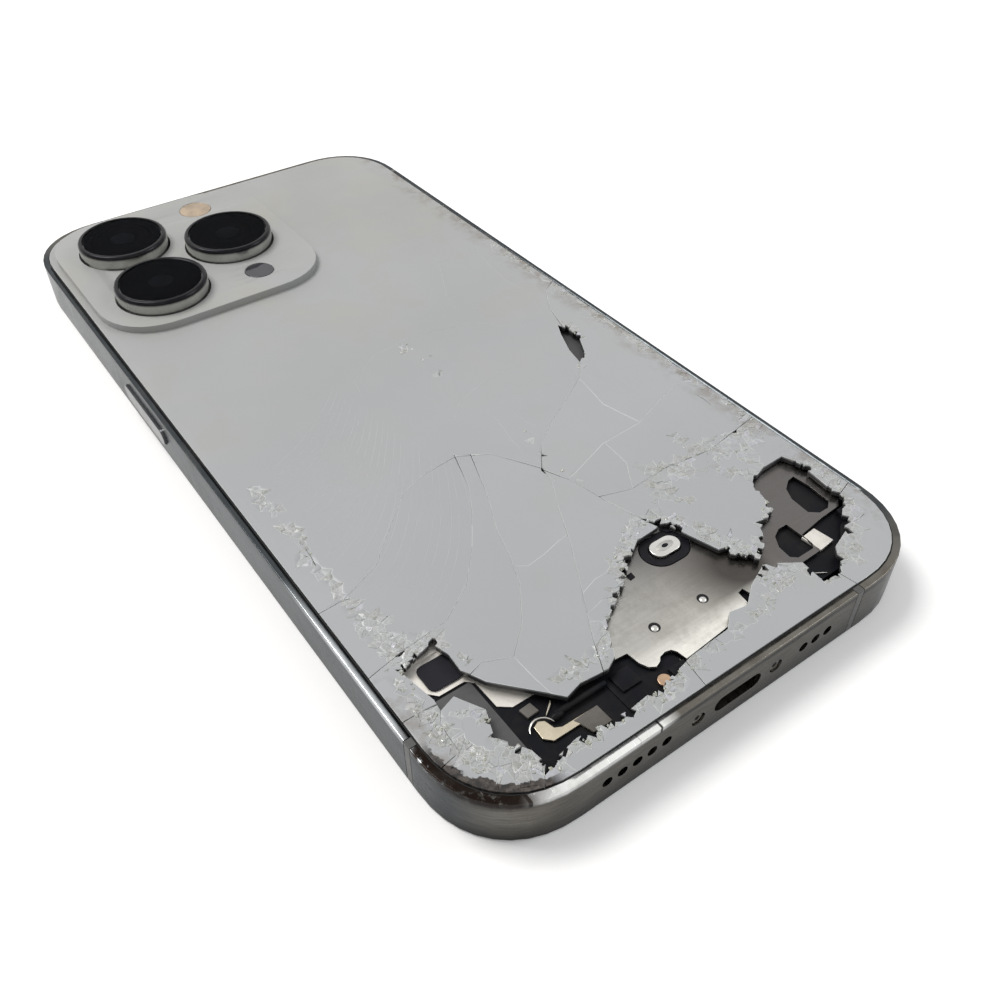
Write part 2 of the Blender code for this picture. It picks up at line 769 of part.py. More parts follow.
def make_charging_port():
    """The metal shell behind the charging mouth, open at its front."""
    front = -END + CAVITY_INSET
    outer = stadium(PORT_WIDTH + 2 * PORT_SHELL, PORT_HEIGHT + 2 * PORT_SHELL, (0.0, MIDDLE), 6)
    shell = along_y("charging_port", outer, front, front + PORT_DEPTH + PORT_SHELL, SHEET_STEEL)
    inner = stadium(PORT_WIDTH, PORT_HEIGHT, (0.0, MIDDLE), 6)
    cut(shell, along_y("port_hollow", inner, front - OVERSHOOT, front + PORT_DEPTH))


def make_battery():
    """A flat pouch cell, in the room between the charging end's modules and the cameras."""
    left = BATTERY_LEFT
    outline = box_outline(left, left + BATTERY_WIDTH, ROOM_LOW, ROOM_HIGH, BATTERY_CORNER)
    round_edges(slab("battery", outline, FLOOR, DECK, BATTERY_FILM), BATTERY_ROUND, 2)


def make_logic_board():
    """The board beside the battery, notched for the card tray, and its two shield cans."""
    outline = box_outline(BOARD_LEFT, BOARD_RIGHT, ROOM_LOW, ROOM_HIGH, BOX_CORNER)
    board = slab("logic_board", outline, FLOOR, FLOOR + BOARD_THICKNESS, BOARD_GREEN)
    notch_low = TRAY_PLACE - TRAY_LENGTH / 2
    notch_high = TRAY_PLACE + TRAY_LENGTH / 2
    notch_left = SIDE - TRAY_DEPTH - ROOM_GAP
    notch_outline = box_outline(notch_left, BOARD_RIGHT + OVERSHOOT, notch_low, notch_high)
    cut(board, slab("tray_notch", notch_outline, FLOOR - OVERSHOOT, FLOOR + 2 * OVERSHOOT))
    rooms = {
        "upper_shield_can": (notch_high + ROOM_GAP, ROOM_HIGH - ROOM_GAP),
        "lower_shield_can": (ROOM_LOW + ROOM_GAP, notch_low - ROOM_GAP),
    }
    for name, (low, high) in rooms.items():
        outline = box_outline(BOARD_LEFT + ROOM_GAP, BOARD_RIGHT - ROOM_GAP, low, high, BOX_CORNER)
        can = slab(name, outline, FLOOR + BOARD_THICKNESS + SEAT_GAP, DECK, SHEET_STEEL)
        round_edges(can, CAN_ROUND, 1)


def make_loudspeaker():
    """The black speaker box in one corner of the charging end. A shelf on it reaches over the port."""
    left = -SIDE + INNER_INSET
    low, high = -END + CAVITY_INSET, ROOM_LOW - ROOM_GAP
    right = -PORT_WIDTH / 2 - PORT_SHELL - SPEAKER_FROM_PORT
    outline = box_outline(left, right, low, high, BOX_CORNER)
    speaker = slab("loudspeaker", outline, FLOOR, DECK, BLACK_PLASTIC)
    shelf_low = MIDDLE + PORT_HEIGHT / 2 + PORT_SHELL + SEAT_GAP
    shelf_outline = box_outline(right - OVERSHOOT, right + SPEAKER_SHELF, low, low + PORT_DEPTH)
    join(speaker, slab("speaker_shelf", shelf_outline, shelf_low, DECK))
    keep_inside(speaker, CAVITY_INSET, FLOOR, DECK)


def make_haptic_engine():
    """The vibration motor's box in the other corner of the charging end."""
    left, right = PORT_WIDTH / 2 + PORT_SHELL + HAPTIC_FROM_PORT, SIDE - INNER_INSET
    low, high = -END + CAVITY_INSET + HAPTIC_INSET, ROOM_LOW - ROOM_GAP
    outline = box_outline(left, right, low, high, BOX_CORNER)
    motor = slab("haptic_engine", outline, FLOOR, DECK, BLACK_PLASTIC)
    keep_inside(motor, CAVITY_INSET, FLOOR, DECK)


def make_earpiece_speaker():
    """The small speaker at the camera end, beside the cameras."""
    left = LENS_X + LENS_OFFSET + MODULE_SIZE / 2 + ROOM_GAP
    high = END - CAVITY_INSET
    right = SIDE - INNER_INSET - CORNER_RADIUS / 2
    outline = box_outline(left, right, high - EARPIECE_LENGTH, high, BOX_CORNER)
    slab("earpiece_speaker", outline, FLOOR, DECK, BLACK_PLASTIC)


def make_cameras():
    """Each camera is a square module with a barrel, a steel ring round it and a glass window over it."""
    module_top = BACK_GLASS_LOW - SEAT_GAP
    ring_low = module_top + SEAT_GAP
    ring_top = BODY_THICKNESS + RING_HEIGHT
    bore = RING_RADIUS - RING_WALL
    seat = RING_RADIUS - WINDOW_LIP
    window_low = ring_top - WINDOW_THICKNESS - SKIN_GAP
    ledge = window_low - SEAT_GAP
    for name, (x, y) in LENSES.items():
        half = MODULE_SIZE / 2
        outline = box_outline(x - half, x + half, y - half, y + half, BOX_CORNER)
        module = slab(f"camera_module_{name}", outline, FLOOR, module_top, BLACK_PLASTIC)
        barrel_outline = circle(BARREL_RADIUS, (x, y), 28)
        join(module, slab(f"camera_barrel_{name}", barrel_outline, module_top - OVERSHOOT, ledge))
        ring = (
            (RING_RADIUS - RING_ROUND, ring_top),
            (RING_RADIUS - 0.3 * RING_ROUND, ring_top - 0.3 * RING_ROUND),
            (RING_RADIUS, ring_top - RING_ROUND),
            (RING_RADIUS, ring_low),
            (bore, ring_low),
            (bore, ledge),
            (seat, ledge),
            (seat, ring_top),
        )
        turned(f"lens_ring_{name}", ring, (x, y), POLISHED_STEEL)
        window = (
            (0.0, window_low + WINDOW_THICKNESS),
            (seat - RUNNING_GAP, window_low + WINDOW_THICKNESS),
            (seat - RUNNING_GAP, window_low),
            (0.0, window_low),
        )
        turned(f"lens_window_{name}", window, (x, y), CLEAR_GLASS)


def make_plateau_covers():
    """The flash lens and the depth sensor's dark window, set in the plateau."""
    top = PLATEAU_TOP
    for name, (x, y), radius, material in (
        ("flash_lens", FLASH, FLASH_RADIUS, FLASH_WARM),
        ("depth_sensor_window", SENSOR, SENSOR_RADIUS, CLEAR_GLASS),
    ):
        slab(name, circle(radius, (x, y), 28), top - COVER_THICKNESS, top, material)


def plateau_outline():
    left = -SIDE + PLATEAU_FROM_SIDE
    high = END - PLATEAU_FROM_END
    centre = (left + PLATEAU_WIDTH / 2, high - PLATEAU_LENGTH / 2)
    radius = CORNER_RADIUS - PLATEAU_FROM_SIDE
    half = (PLATEAU_WIDTH / 2, PLATEAU_LENGTH / 2)
    return rounded_outline(*half, radius, CORNER_EXPONENT, CORNER_STEPS, centre)


def crack_outline(line):
    """A crack's narrow outline: its line moved half the crack's width to each side."""
    left, right = [], []
    for number, point in enumerate(line):
        before = Vector(line[max(number - 1, 0)])
        after = Vector(line[min(number + 1, len(line) - 1)])
        along = (after - before).normalized()
        across = Vector((-along.y, along.x)) * CRACK_WIDTH / 2
        left.append(tuple(Vector(point) + across))
        right.append(tuple(Vector(point) - across))
    return left + right[::-1]


def back_glass_cutters():
    """All that is missing from the back glass: holes for the cameras, broken-out places and cracks."""
    low, high = BACK_GLASS_LOW - OVERSHOOT, PLATEAU_TOP + OVERSHOOT
    cutters = [
        slab("missing_glass", on_glass(MISSING_GLASS), low, high),
        slab("small_hole", on_glass(SMALL_HOLE), low, high),
    ]
    for name, centre in LENSES.items():
        cutters.append(slab(f"ring_hole_{name}", circle(RING_RADIUS + SEAT_GAP, centre, 36), low, high))
    for name, centre, radius in (("flash", FLASH, FLASH_RADIUS), ("sensor", SENSOR, SENSOR_RADIUS)):
        pocket_low = PLATEAU_TOP - COVER_THICKNESS - SEAT_GAP
        cutters.append(slab(f"{name}_pocket", circle(radius + RUNNING_GAP, centre, 28), pocket_low, high))
    for number, line in enumerate(CRACKS):
        cutters.append(slab(f"crack_{number}", crack_outline(on_glass(line)), low, high))
    return cutters


def loose_pieces(mesh):
    """The mesh's separate bodies, each as a new mesh."""
    shape = bmesh.new()
    shape.from_mesh(mesh)
    shape.verts.ensure_lookup_table()
    seen = set()
    pieces = []
    for start in shape.verts:
        if start in seen:
            continue
        island, edge_of_search = {start}, [start]
        while edge_of_search:
            for edge in edge_of_search.pop().link_edges:
                for vertex in edge.verts:
                    if vertex not in island:
                        island.add(vertex)
                        edge_of_search.append(vertex)
        seen |= island
        copy = shape.copy()
        copy.verts.ensure_lookup_table()
        inside = {vertex.index for vertex in island}
        bmesh.ops.delete(copy, geom=[v for v in copy.verts if v.index not in inside], context="VERTS")
        piece = bpy.data.meshes.new("glass_piece")
        copy.to_mesh(piece)
        copy.free()
        pieces.append(piece)
    shape.free()
    return pieces


def top_covers(mesh, point):
    """Whether the mesh has a face that looks up over the point."""
    probe = bpy.data.objects.new("probe", mesh)
    bpy.context.scene.collection.objects.link(probe)
    bpy.context.view_layer.update()
    hit = probe.ray_cast((*point, PLATEAU_TOP + OVERSHOOT), (0, 0, -1))[0]
    bpy.data.objects.remove(probe)
    return hit


def make_back_glass():
    """The back glass as it lies after the break: the sheet with the camera plateau, and the shards."""
    outline = body_outline(GLASS_INSET)
    blank = slab("back_glass_blank", outline, BACK_GLASS_LOW, BODY_THICKNESS, SILVER_GLASS)
    plateau = slab("plateau_block", plateau_outline(), BACK_GLASS_LOW + SKIN_GAP, PLATEAU_TOP)
    round_edges(plateau, PLATEAU_ROUND, 2)
    join(blank, plateau)
    cut(blank, *back_glass_cutters())
    bake(blank)
    pieces = loose_pieces(blank.data)
    bpy.data.objects.remove(blank)
    for name, point in GLASS_PIECES.items():
        place_on_glass = on_glass([point])[0]
        for mesh in [piece for piece in pieces if top_covers(piece, place_on_glass)]:
            pieces.remove(mesh)
            mesh.materials.clear()
            place(bpy.data.objects.new(name, mesh), SILVER_GLASS)


def make_support_plate():
    """The steel sheet bonded under the glass at the charging end, dimpled and with a scalloped edge."""
    outline = from_charging_end(PLATE_EDGE)
    windows = [from_charging_end(WINDOW_UPPER), from_charging_end(WINDOW_LOWER)]
    x, y = POST_PLACE
    bush_hole = stadium(
        POST_LENGTH + 2 * BUSH_WALL + 2 * SKIN_GAP,
        POST_WIDTH + 2 * BUSH_WALL + 2 * SKIN_GAP,
        (x, y - END),
        7,
    )
    holes = (*windows, bush_hole)
    plate = slab("steel_back_plate", outline, SUPPORT_LOW, BACK_LEDGE, POLISHED_STEEL, holes)
    for number, (dimple_x, dimple_y) in enumerate(DIMPLES):
        dimple = circle(DIMPLE_RADIUS, (dimple_x, dimple_y - END), 14)
        cut(plate, slab(f"dimple_{number}", dimple, BACK_LEDGE - DIMPLE_DEPTH, BACK_LEDGE + OVERSHOOT))
    keep_inside(plate, CAVITY_INSET, SUPPORT_LOW, BACK_LEDGE)


def make_grounding_post():
    """A black oval bush in the steel sheet, with an oblong steel post standing in it."""
    x, y = POST_PLACE
    centre = (x, y - END)
    top = BACK_LEDGE + POST_RISE
    outer = stadium(POST_LENGTH + 2 * BUSH_WALL, POST_WIDTH + 2 * BUSH_WALL, centre, 7)
    inner = stadium(POST_LENGTH + 2 * SKIN_GAP, POST_WIDTH + 2 * SKIN_GAP, centre, 7)
    slab("oval_bush", outer, SUPPORT_LOW, BACK_LEDGE + SKIN_GAP, BLACK_PLASTIC, holes=(inner,))
    post_outline = stadium(POST_LENGTH, POST_WIDTH, centre, 7)
    post = slab("grounding_post", post_outline, SUPPORT_LOW, top, SHEET_STEEL)
    dent = circle(POST_DENT_RADIUS, centre, 12)
    cut(post, slab("post_dent", dent, top - POST_DENT_DEPTH, top + OVERSHOOT))


def end_box(box, radius):
    """A box given in millimetres from the charging end's edge, as an outline with round corners."""
    left, right, low, high = box
    return box_outline(left * MM, right * MM, low * MM - END, high * MM - END, radius)


def make_speaker_trim():
    """Thin parts stuck on the speaker box: foil with its black pad, film, contact, tube, copper dot."""
    foil = slab("foil_label", from_charging_end(FOIL_EDGE), SKIN_LOW, SKIN_HIGH, BRIGHT_FOIL)
    keep_inside(foil, CAVITY_INSET, SKIN_LOW, SKIN_HIGH)
    pad_low = SKIN_HIGH + SKIN_GAP
    slab("foil_pad", end_box(PAD_BOX, PAD_CORNER), pad_low, pad_low + PAD_THICKNESS, BLACK_PLASTIC)
    film = slab("graphite_film", from_charging_end(FILM_EDGE), SKIN_LOW, SKIN_HIGH, GRAPHITE)
    keep_inside(film, CAVITY_INSET, SKIN_LOW, SKIN_HIGH)
    contact = from_charging_end(CONTACT_EDGE)
    slab("speaker_contact", contact, SKIN_LOW, SKIN_LOW + CONTACT_THICKNESS, GOLD_CONTACT)
    tube = circle(TUBE_RADIUS, (TUBE_UP * MM - END, SKIN_LOW + TUBE_RADIUS), 16)
    along_x("acoustic_tube", tube, TUBE_LEFT * MM, TUBE_RIGHT * MM, BLACK_PLASTIC)
    copper = from_charging_end([COPPER_PLACE])[0]
    slab("copper_dot", circle(COPPER_RADIUS, copper, 18), SKIN_LOW, SKIN_LOW + COPPER_THICKNESS, COPPER)


def make_microphone_mesh():
    """The dark perforated strip over the charging port, below the steel sheet's edge."""
    slab("microphone_mesh", end_box(MESH_BOX, MESH_CORNER), SKIN_LOW, SKIN_LOW + MESH_THICKNESS, GRAPHITE)


def make_charging_coil():
    """A graphite sheet over the battery and board, with the charging coil and its magnets on it."""
    left, right = -SIDE + INNER_INSET, SIDE - INNER_INSET
    sheet = box_outline(left, right, ROOM_LOW + ROOM_GAP, ROOM_HIGH - ROOM_GAP, BATTERY_CORNER)
    slab("graphite_sheet", sheet, SKIN_LOW, SKIN_HIGH, GRAPHITE)
    low, high = SKIN_HIGH + SKIN_GAP, BACK_LEDGE
    centre = (0.0, COIL_PLACE)
    inner = circle(COIL_RADIUS - COIL_WIDTH, centre, 40)
    slab("charging_coil", circle(COIL_RADIUS, centre, 40), low, high, COPPER, holes=(inner,))
    magnet_inner = COIL_RADIUS + SEAT_GAP
    start = math.radians(MAGNET_OPENING / 2 - 90)
    sweep = math.radians(360 - MAGNET_OPENING)
    angles = [start + sweep * step / 40 for step in range(41)]
    outer_side = [arc_point(magnet_inner + MAGNET_WIDTH, angle, centre) for angle in angles]
    inner_side = [arc_point(magnet_inner, angle, centre) for angle in reversed(angles)]
    slab("magnet_ring", outer_side + inner_side, low, high, SHEET_STEEL)


clear_scene()
PARTS = new_collection("shattered_phone")
CUTTERS = new_collection("cutters")
POLISHED_STEEL = finish("polished_steel", (0.62, 0.62, 0.60), 0.22, 1.0)
SHEET_STEEL = finish("sheet_steel", (0.55, 0.54, 0.52), 0.35, 1.0)
SCREW_STEEL = finish("screw_steel", (0.35, 0.34, 0.33), 0.35, 1.0)
CLEAR_GLASS = finish("dark_glass", (0.01, 0.01, 0.012), 0.05)
SILVER_GLASS = finish("silver_glass", (0.62, 0.63, 0.63), 0.12)
BLACK_PLASTIC = finish("black_plastic", (0.02, 0.02, 0.022), 0.45)
STRIP_PLASTIC = finish("strip_plastic", (0.42, 0.42, 0.40), 0.5)
BATTERY_FILM = finish("battery_film", (0.03, 0.03, 0.03), 0.4)
BOARD_GREEN = finish("board_green", (0.02, 0.09, 0.05), 0.5)
BRIGHT_FOIL = finish("bright_foil", (0.80, 0.78, 0.74), 0.3, 1.0)
GRAPHITE = finish("graphite", (0.10, 0.10, 0.10), 0.55)
GOLD_CONTACT = finish("gold_contact", (0.80, 0.68, 0.46), 0.3, 1.0)
COPPER = finish("copper", (0.72, 0.42, 0.26), 0.35, 1.0)
FLASH_WARM = finish("flash_warm", (0.75, 0.62, 0.40), 0.2)

make_front_glass()
make_display_panel()
make_chassis_plate()
make_frame_band([*make_side_controls(), make_card_tray()])
make_bottom_screws()
make_charging_port()
make_battery()
make_logic_board()
make_loudspeaker()
make_haptic_engine()
make_earpiece_speaker()
make_cameras()
make_plateau_covers()
make_back_glass()
make_support_plate()
make_grounding_post()
make_speaker_trim()
make_microphone_mesh()
make_charging_coil()
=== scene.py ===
"""The looks of a three-camera phone that lies on its screen with its back glass shattered.

Metres, +Z up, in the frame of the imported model: +Y is the camera end, -Y the charging end.
"""

import json
import math
import random

import bmesh
import bpy
import numpy as np
from mathutils import Matrix, Vector
from mathutils.geometry import delaunay_2d_cdt, interpolate_bezier


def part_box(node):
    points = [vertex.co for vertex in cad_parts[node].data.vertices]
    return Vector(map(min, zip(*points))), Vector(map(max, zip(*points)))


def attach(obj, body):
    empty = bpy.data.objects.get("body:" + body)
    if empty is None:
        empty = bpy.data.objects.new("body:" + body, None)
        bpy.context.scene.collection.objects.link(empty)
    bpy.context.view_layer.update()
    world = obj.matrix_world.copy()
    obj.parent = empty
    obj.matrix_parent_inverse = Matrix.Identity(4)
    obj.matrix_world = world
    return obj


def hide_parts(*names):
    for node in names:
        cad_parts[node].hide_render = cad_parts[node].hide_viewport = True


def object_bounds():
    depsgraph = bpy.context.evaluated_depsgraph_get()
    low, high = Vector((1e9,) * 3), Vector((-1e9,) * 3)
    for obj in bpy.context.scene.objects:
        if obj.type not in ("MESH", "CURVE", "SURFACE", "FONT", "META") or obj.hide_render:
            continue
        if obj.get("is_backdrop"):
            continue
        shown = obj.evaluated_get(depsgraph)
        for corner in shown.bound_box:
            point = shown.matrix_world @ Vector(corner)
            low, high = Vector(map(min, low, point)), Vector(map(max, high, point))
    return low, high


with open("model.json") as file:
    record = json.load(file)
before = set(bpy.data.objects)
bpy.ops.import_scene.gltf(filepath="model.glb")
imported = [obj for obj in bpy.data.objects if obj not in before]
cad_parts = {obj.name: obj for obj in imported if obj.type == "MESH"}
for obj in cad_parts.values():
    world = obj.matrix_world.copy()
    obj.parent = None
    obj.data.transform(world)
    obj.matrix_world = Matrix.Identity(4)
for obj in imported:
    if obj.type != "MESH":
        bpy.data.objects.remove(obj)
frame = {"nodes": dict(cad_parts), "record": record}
cad_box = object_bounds()
MM = 0.001

# The camera
# It stands low beyond the charging end's camera-side corner and looks across the back towards the lenses.
STAND = Vector((-61.43, -112.20, 97.57)) * MM
AIM = Vector((-0.7657, -28.0904, 0.0)) * MM
ROLL = math.radians(-0.21)
FOCAL_LENGTH = 35.34
SENSOR_WIDTH = 36.0


def add_object(name, data):
    made = bpy.data.objects.new(name, data)
    bpy.context.scene.collection.objects.link(made)
    return made


camera_data = bpy.data.cameras.new("photo_camera")
camera_data.lens = FOCAL_LENGTH
camera_data.sensor_width = SENSOR_WIDTH
camera_data.clip_start = 0.005
camera = add_object("photo_camera", camera_data)
facing = (AIM - STAND).to_track_quat("-Z", "Y").to_matrix().to_4x4()
camera.matrix_world = Matrix.Translation(STAND) @ facing @ Matrix.Rotation(ROLL, 4, "Z")
bpy.context.scene.camera = camera

# The table and the light
# A plain white table top in a pale room, lit by a broad window beyond the camera end and by a weaker, cooler
# one at the right. The table seems to glow more the farther it is from the phone, so its edge isn't seen.
TABLE_HALF = 3.0
TABLE_WHITE = (0.95, 0.95, 0.95)
TABLE_FADE = (0.10, 0.90)
TABLE_GLOW = (0.11, 0.58)
PURE_WHITE = (1.0, 1.0, 1.0)
ROOM_LIGHT = 0.49
# Each window: its place and width in metres, its power in watts and its colour
WINDOWS = {
    "near_window": ((-0.28, 0.46, 0.86), 0.46, 7.6, (1.0, 0.985, 0.96)),
    "far_window": ((0.80, -0.35, 0.75), 0.40, 2.3, (0.95, 0.97, 1.0)),
}


def node(tree, kind, inputs=None, **settings):
    """A shader node with its settings. An input that is a socket is linked, and any other is set."""
    made = tree.nodes.new(kind)
    for name, value in settings.items():
        setattr(made, name, value)
    for name, value in (inputs or {}).items():
        socket = made.inputs[name]
        if isinstance(value, bpy.types.NodeSocket):
            tree.links.new(value, socket)
        elif socket.type == "RGBA":
            socket.default_value = (*value, 1.0)
        else:
            socket.default_value = value
    return made


def sums(tree, operation, first, second):
    return node(tree, "ShaderNodeMath", {0: first, 1: second}, operation=operation).outputs[0]


def times(tree, first, *others):
    """The product of masks or numbers."""
    for other in others:
        first = sums(tree, "MULTIPLY", first, other)
    return first


def between(tree, value, low, high, to_low=0.0, to_high=1.0):
    """The value's way from low to high, as a number from to_low to to_high."""
    reach = {"Value": value, "From Min": low, "From Max": high, "To Min": to_low, "To Max": to_high}
    return node(tree, "ShaderNodeMapRange", reach).outputs[0]


def seen_directly(tree):
    """1 for a ray from the camera or off a shiny or clear surface, and 0 for what lights the object."""
    path = node(tree, "ShaderNodeLightPath").outputs
    shiny = sums(tree, "MAXIMUM", path["Is Glossy Ray"], path["Is Transmission Ray"])
    return sums(tree, "MAXIMUM", path["Is Camera Ray"], shiny)


def make_stage():
    shape = bmesh.new()
    bmesh.ops.create_grid(shape, x_segments=1, y_segments=1, size=TABLE_HALF)
    data = bpy.data.meshes.new("table")
    shape.to_mesh(data)
    shape.free()
    table = add_object("table", data)
    white = bpy.data.materials.new("white_table")
    white.use_nodes = True
    tree = white.node_tree
    tree.nodes.clear()
    top = node(tree, "ShaderNodeBsdfDiffuse", {"Color": TABLE_WHITE})
    where = node(tree, "ShaderNodeTexCoord").outputs["Object"]
    far = node(tree, "ShaderNodeVectorMath", {0: where}, operation="LENGTH").outputs["Value"]
    glow = times(tree, seen_directly(tree), between(tree, far, *TABLE_FADE, *TABLE_GLOW))
    light = node(tree, "ShaderNodeEmission", {"Color": PURE_WHITE, "Strength": glow})
    both = node(tree, "ShaderNodeAddShader", {0: top.outputs[0], 1: light.outputs[0]})
    node(tree, "ShaderNodeOutputMaterial", {"Surface": both.outputs[0]})
    data.materials.append(white)
    table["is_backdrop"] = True

    world = bpy.data.worlds.new("pale_room")
    bpy.context.scene.world = world
    world.use_nodes = True
    tree = world.node_tree
    tree.nodes.clear()
    strength = between(tree, seen_directly(tree), 0.0, 1.0, ROOM_LIGHT, 1.0)
    room = node(tree, "ShaderNodeBackground", {"Color": PURE_WHITE, "Strength": strength})
    node(tree, "ShaderNodeOutputWorld", {"Surface": room.outputs[0]})

    for name, (place, size, power, colour) in WINDOWS.items():
        light = bpy.data.lights.new(name, "AREA")
        light.shape = "SQUARE"
        light.size = size
        light.energy = power
        light.color = colour
        lamp = add_object(name, light)
        lamp.location = place
        lamp.rotation_euler = (-Vector(place)).to_track_quat("-Z", "Y").to_euler()


make_stage()
bpy.context.scene.view_settings.view_transform = "Standard"

# The steel band
# One band of polished steel, milled with a slot for each control, a rebate for each glass and rows of
# holes. Its sides are painted dark and cool grey and its ends paler and warmer, as painted shade and
# reflection, and it is scuffed black where the phone fell.
# The dark, cool sides and the paler, warmer ends are painted shade and reflection on one steel
SIDE_STEEL_SHADE = (0.046, 0.053, 0.058)
END_STEEL_REFLECTION = (0.120, 0.109, 0.092)
DRAWN_STEEL = (0.40, 0.39, 0.36)
HIGHLIGHT_CHROME = (0.95, 0.95, 0.93)
TICK_BLACK = (0.02, 0.02, 0.02)
SCUFF_BLACK = (0.016, 0.011, 0.009)
STEEL_TINT = (0.70, 0.71, 0.72)
STEEL_DIRT = (0.030, 0.025, 0.020)
EVEN = (1.0, 1.0, 1.0)
SHARP_ANGLE = 0.7
MERGE_GAP = 1e-6
# Zones of the band: the places, in millimetres, between which each rises from nothing to full
# The struck edge: a strip of painted highlight along the charging end's top edge, with black nicks in it
STRUCK_EDGE_HIGHLIGHT = (("X", -30.0, -28.0), ("X", -9.5, -12.0), ("Z", 6.6, 7.1), ("Y", -70.0, -71.5))
SCUFF_TOP = (("Z", 5.8, 7.1),)
# The scuff's middle and the distances from it where it starts and is full, and where the ends' paler,
# warmer painted reflection starts
SCUFF_MIDDLE = (-0.0333, -0.0665, 0.0074)
SCUFF_REACH = (0.0105, 0.0060)
END_REFLECTION_START = (0.0655, 0.0730)
# Each mark on the band: its zone, its colour and how strong it is
BAND_MARKS = {
    "shaded foot": ((("Z", 3.6, 0.4),), (0.022, 0.021, 0.020), 0.8),
    "dark edge": ((("Z", 6.5, 6.9), ("Z", 7.5, 7.1)), (0.014, 0.014, 0.014), 0.8),
    "lit edge": ((("Y", -30.0, -42.0), ("X", -35.0, -35.5), ("Z", 6.6, 7.1)), (0.75, 0.78, 0.80), 0.8),
}


def new_group(name, inputs, outputs):
    """A node group, with its input sockets and its output sockets."""
    group = bpy.data.node_groups.new(name, "ShaderNodeTree")
    for label, value in inputs.items():
        socket = group.interface.new_socket(label, in_out="INPUT", socket_type="NodeSocketFloat")
        socket.default_value = value
    for label in outputs:
        group.interface.new_socket(label, in_out="OUTPUT", socket_type="NodeSocketFloat")
    return group, group.nodes.new("NodeGroupInput").outputs, group.nodes.new("NodeGroupOutput").inputs


def place_of(tree, squeeze=EVEN, turn=0.0):
    """The place on the piece, in metres, scaled along the axes and turned about the upright."""
    where = node(tree, "ShaderNodeTexCoord").outputs["Object"]
    shift = {"Vector": where, "Rotation": (0.0, 0.0, turn), "Scale": squeeze}
    return node(tree, "ShaderNodeMapping", shift).outputs[0]


def noise(tree, scale, detail=3.0, rough=0.55, squeeze=EVEN, turn=0.0):
    inputs = {"Vector": place_of(tree, squeeze, turn), "Scale": scale, "Detail": detail, "Roughness": rough}
    return node(tree, "ShaderNodeTexNoise", inputs).outputs["Fac"]


def blotches(tree, low, high, *noise_values, **squeezed):
    """A mask that is 0 where the noise is low and 1 where it is high."""
    return between(tree, noise(tree, *noise_values, **squeezed), low, high)


def zone(tree, limits):
    """A mask that rises from 0 to 1 between two places, in millimetres, along each axis given."""
    where = node(tree, "ShaderNodeSeparateXYZ", {0: place_of(tree)}).outputs
    return times(tree, *(between(tree, where[axis], low * MM, high * MM) for axis, low, high in limits))


def distance_from(tree, point, squeeze=EVEN):
    """How far the place on the piece is from a point, in metres."""
    ends = {0: place_of(tree, squeeze), 1: point}
    return node(tree, "ShaderNodeVectorMath", ends, operation="DISTANCE").outputs["Value"]


def blend(tree, amount, first, second, share=1.0):
    """The second colour over the first, by a share of the amount."""
    if share < 1.0:
        amount = times(tree, amount, share)
    mixed = node(tree, "ShaderNodeMix", data_type="RGBA")
    for number, value in ((0, amount), (6, first), (7, second)):
        if isinstance(value, bpy.types.NodeSocket):
            tree.links.new(value, mixed.inputs[number])
        else:
            mixed.inputs[number].default_value = (*value, 1.0) if number else value
    return mixed.outputs[2]


def make_grime():
    """Dirt in blotches and fine scratches, as two masks, and their relief."""
    group, given, put = new_group("grime", {"Dirt": 0.3, "Scratches": 0.4}, ("Dirt", "Scratches", "Height"))
    fine = noise(group, 1400.0)
    patches = sums(group, "ADD", noise(group, 160.0, 6.0, 0.65), times(group, fine, 0.35))
    patches = between(group, patches, 0.62, 0.86)
    group.links.new(times(group, patches, given["Dirt"]), put["Dirt"])
    along = blotches(group, 0.66, 0.74, 2600.0, 2.0, squeeze=(0.06, 1.0, 1.0), turn=0.5)
    across = blotches(group, 0.67, 0.75, 3000.0, 2.0, squeeze=(1.0, 0.05, 1.0), turn=0.2)
    worn = blotches(group, 0.42, 0.62, 90.0)
    lines = times(group, sums(group, "MAXIMUM", along, across), worn, given["Scratches"])
    group.links.new(lines, put["Scratches"])
    group.links.new(sums(group, "SUBTRACT", times(group, fine, 0.4), lines), put["Height"])
    return group


GRIME = make_grime()


def new_material(name):
    """A material with its Principled shader, and its tree."""
    material = bpy.data.materials.new(name)
    material.use_nodes = True
    return material, material.node_tree, material.node_tree.nodes["Principled BSDF"]


def set_shader(tree, shader, **values):
    """Sets or links the shader's sockets, whose names are written with _ for a space."""
    for name, value in values.items():
        socket = shader.inputs[name.replace("_", " ")]
        if isinstance(value, bpy.types.NodeSocket):
            tree.links.new(value, socket)
        else:
            socket.default_value = (*value, 1.0) if isinstance(value, tuple) else value


def add_grime(tree, shader, colour, roughness, metallic, dirt, scratches, stain=STEEL_DIRT, bump=0.1):
    """Dirt and scratches over a colour, on the Principled shader."""
    grime = node(tree, "ShaderNodeGroup", node_tree=GRIME)
    grime.inputs["Dirt"].default_value = dirt
    grime.inputs["Scratches"].default_value = scratches
    masks = grime.outputs
    rough = between(tree, noise(tree, 70.0, 4.0), 0.3, 0.7, roughness * 0.8, roughness * 1.25)
    rough = sums(tree, "ADD", rough, times(tree, masks["Scratches"], 0.2))
    rough = sums(tree, "ADD", rough, times(tree, masks["Dirt"], 0.35))
    relief = node(tree, "ShaderNodeBump", {"Height": masks["Height"], "Strength": bump, "Distance": 0.0002})
    shine = times(tree, sums(tree, "SUBTRACT", 1.0, masks["Dirt"]), metallic)
    tone = blend(tree, masks["Dirt"], colour, stain)
    set_shader(tree, shader, Base_Color=tone, Roughness=rough, Metallic=shine, Normal=relief.outputs[0])


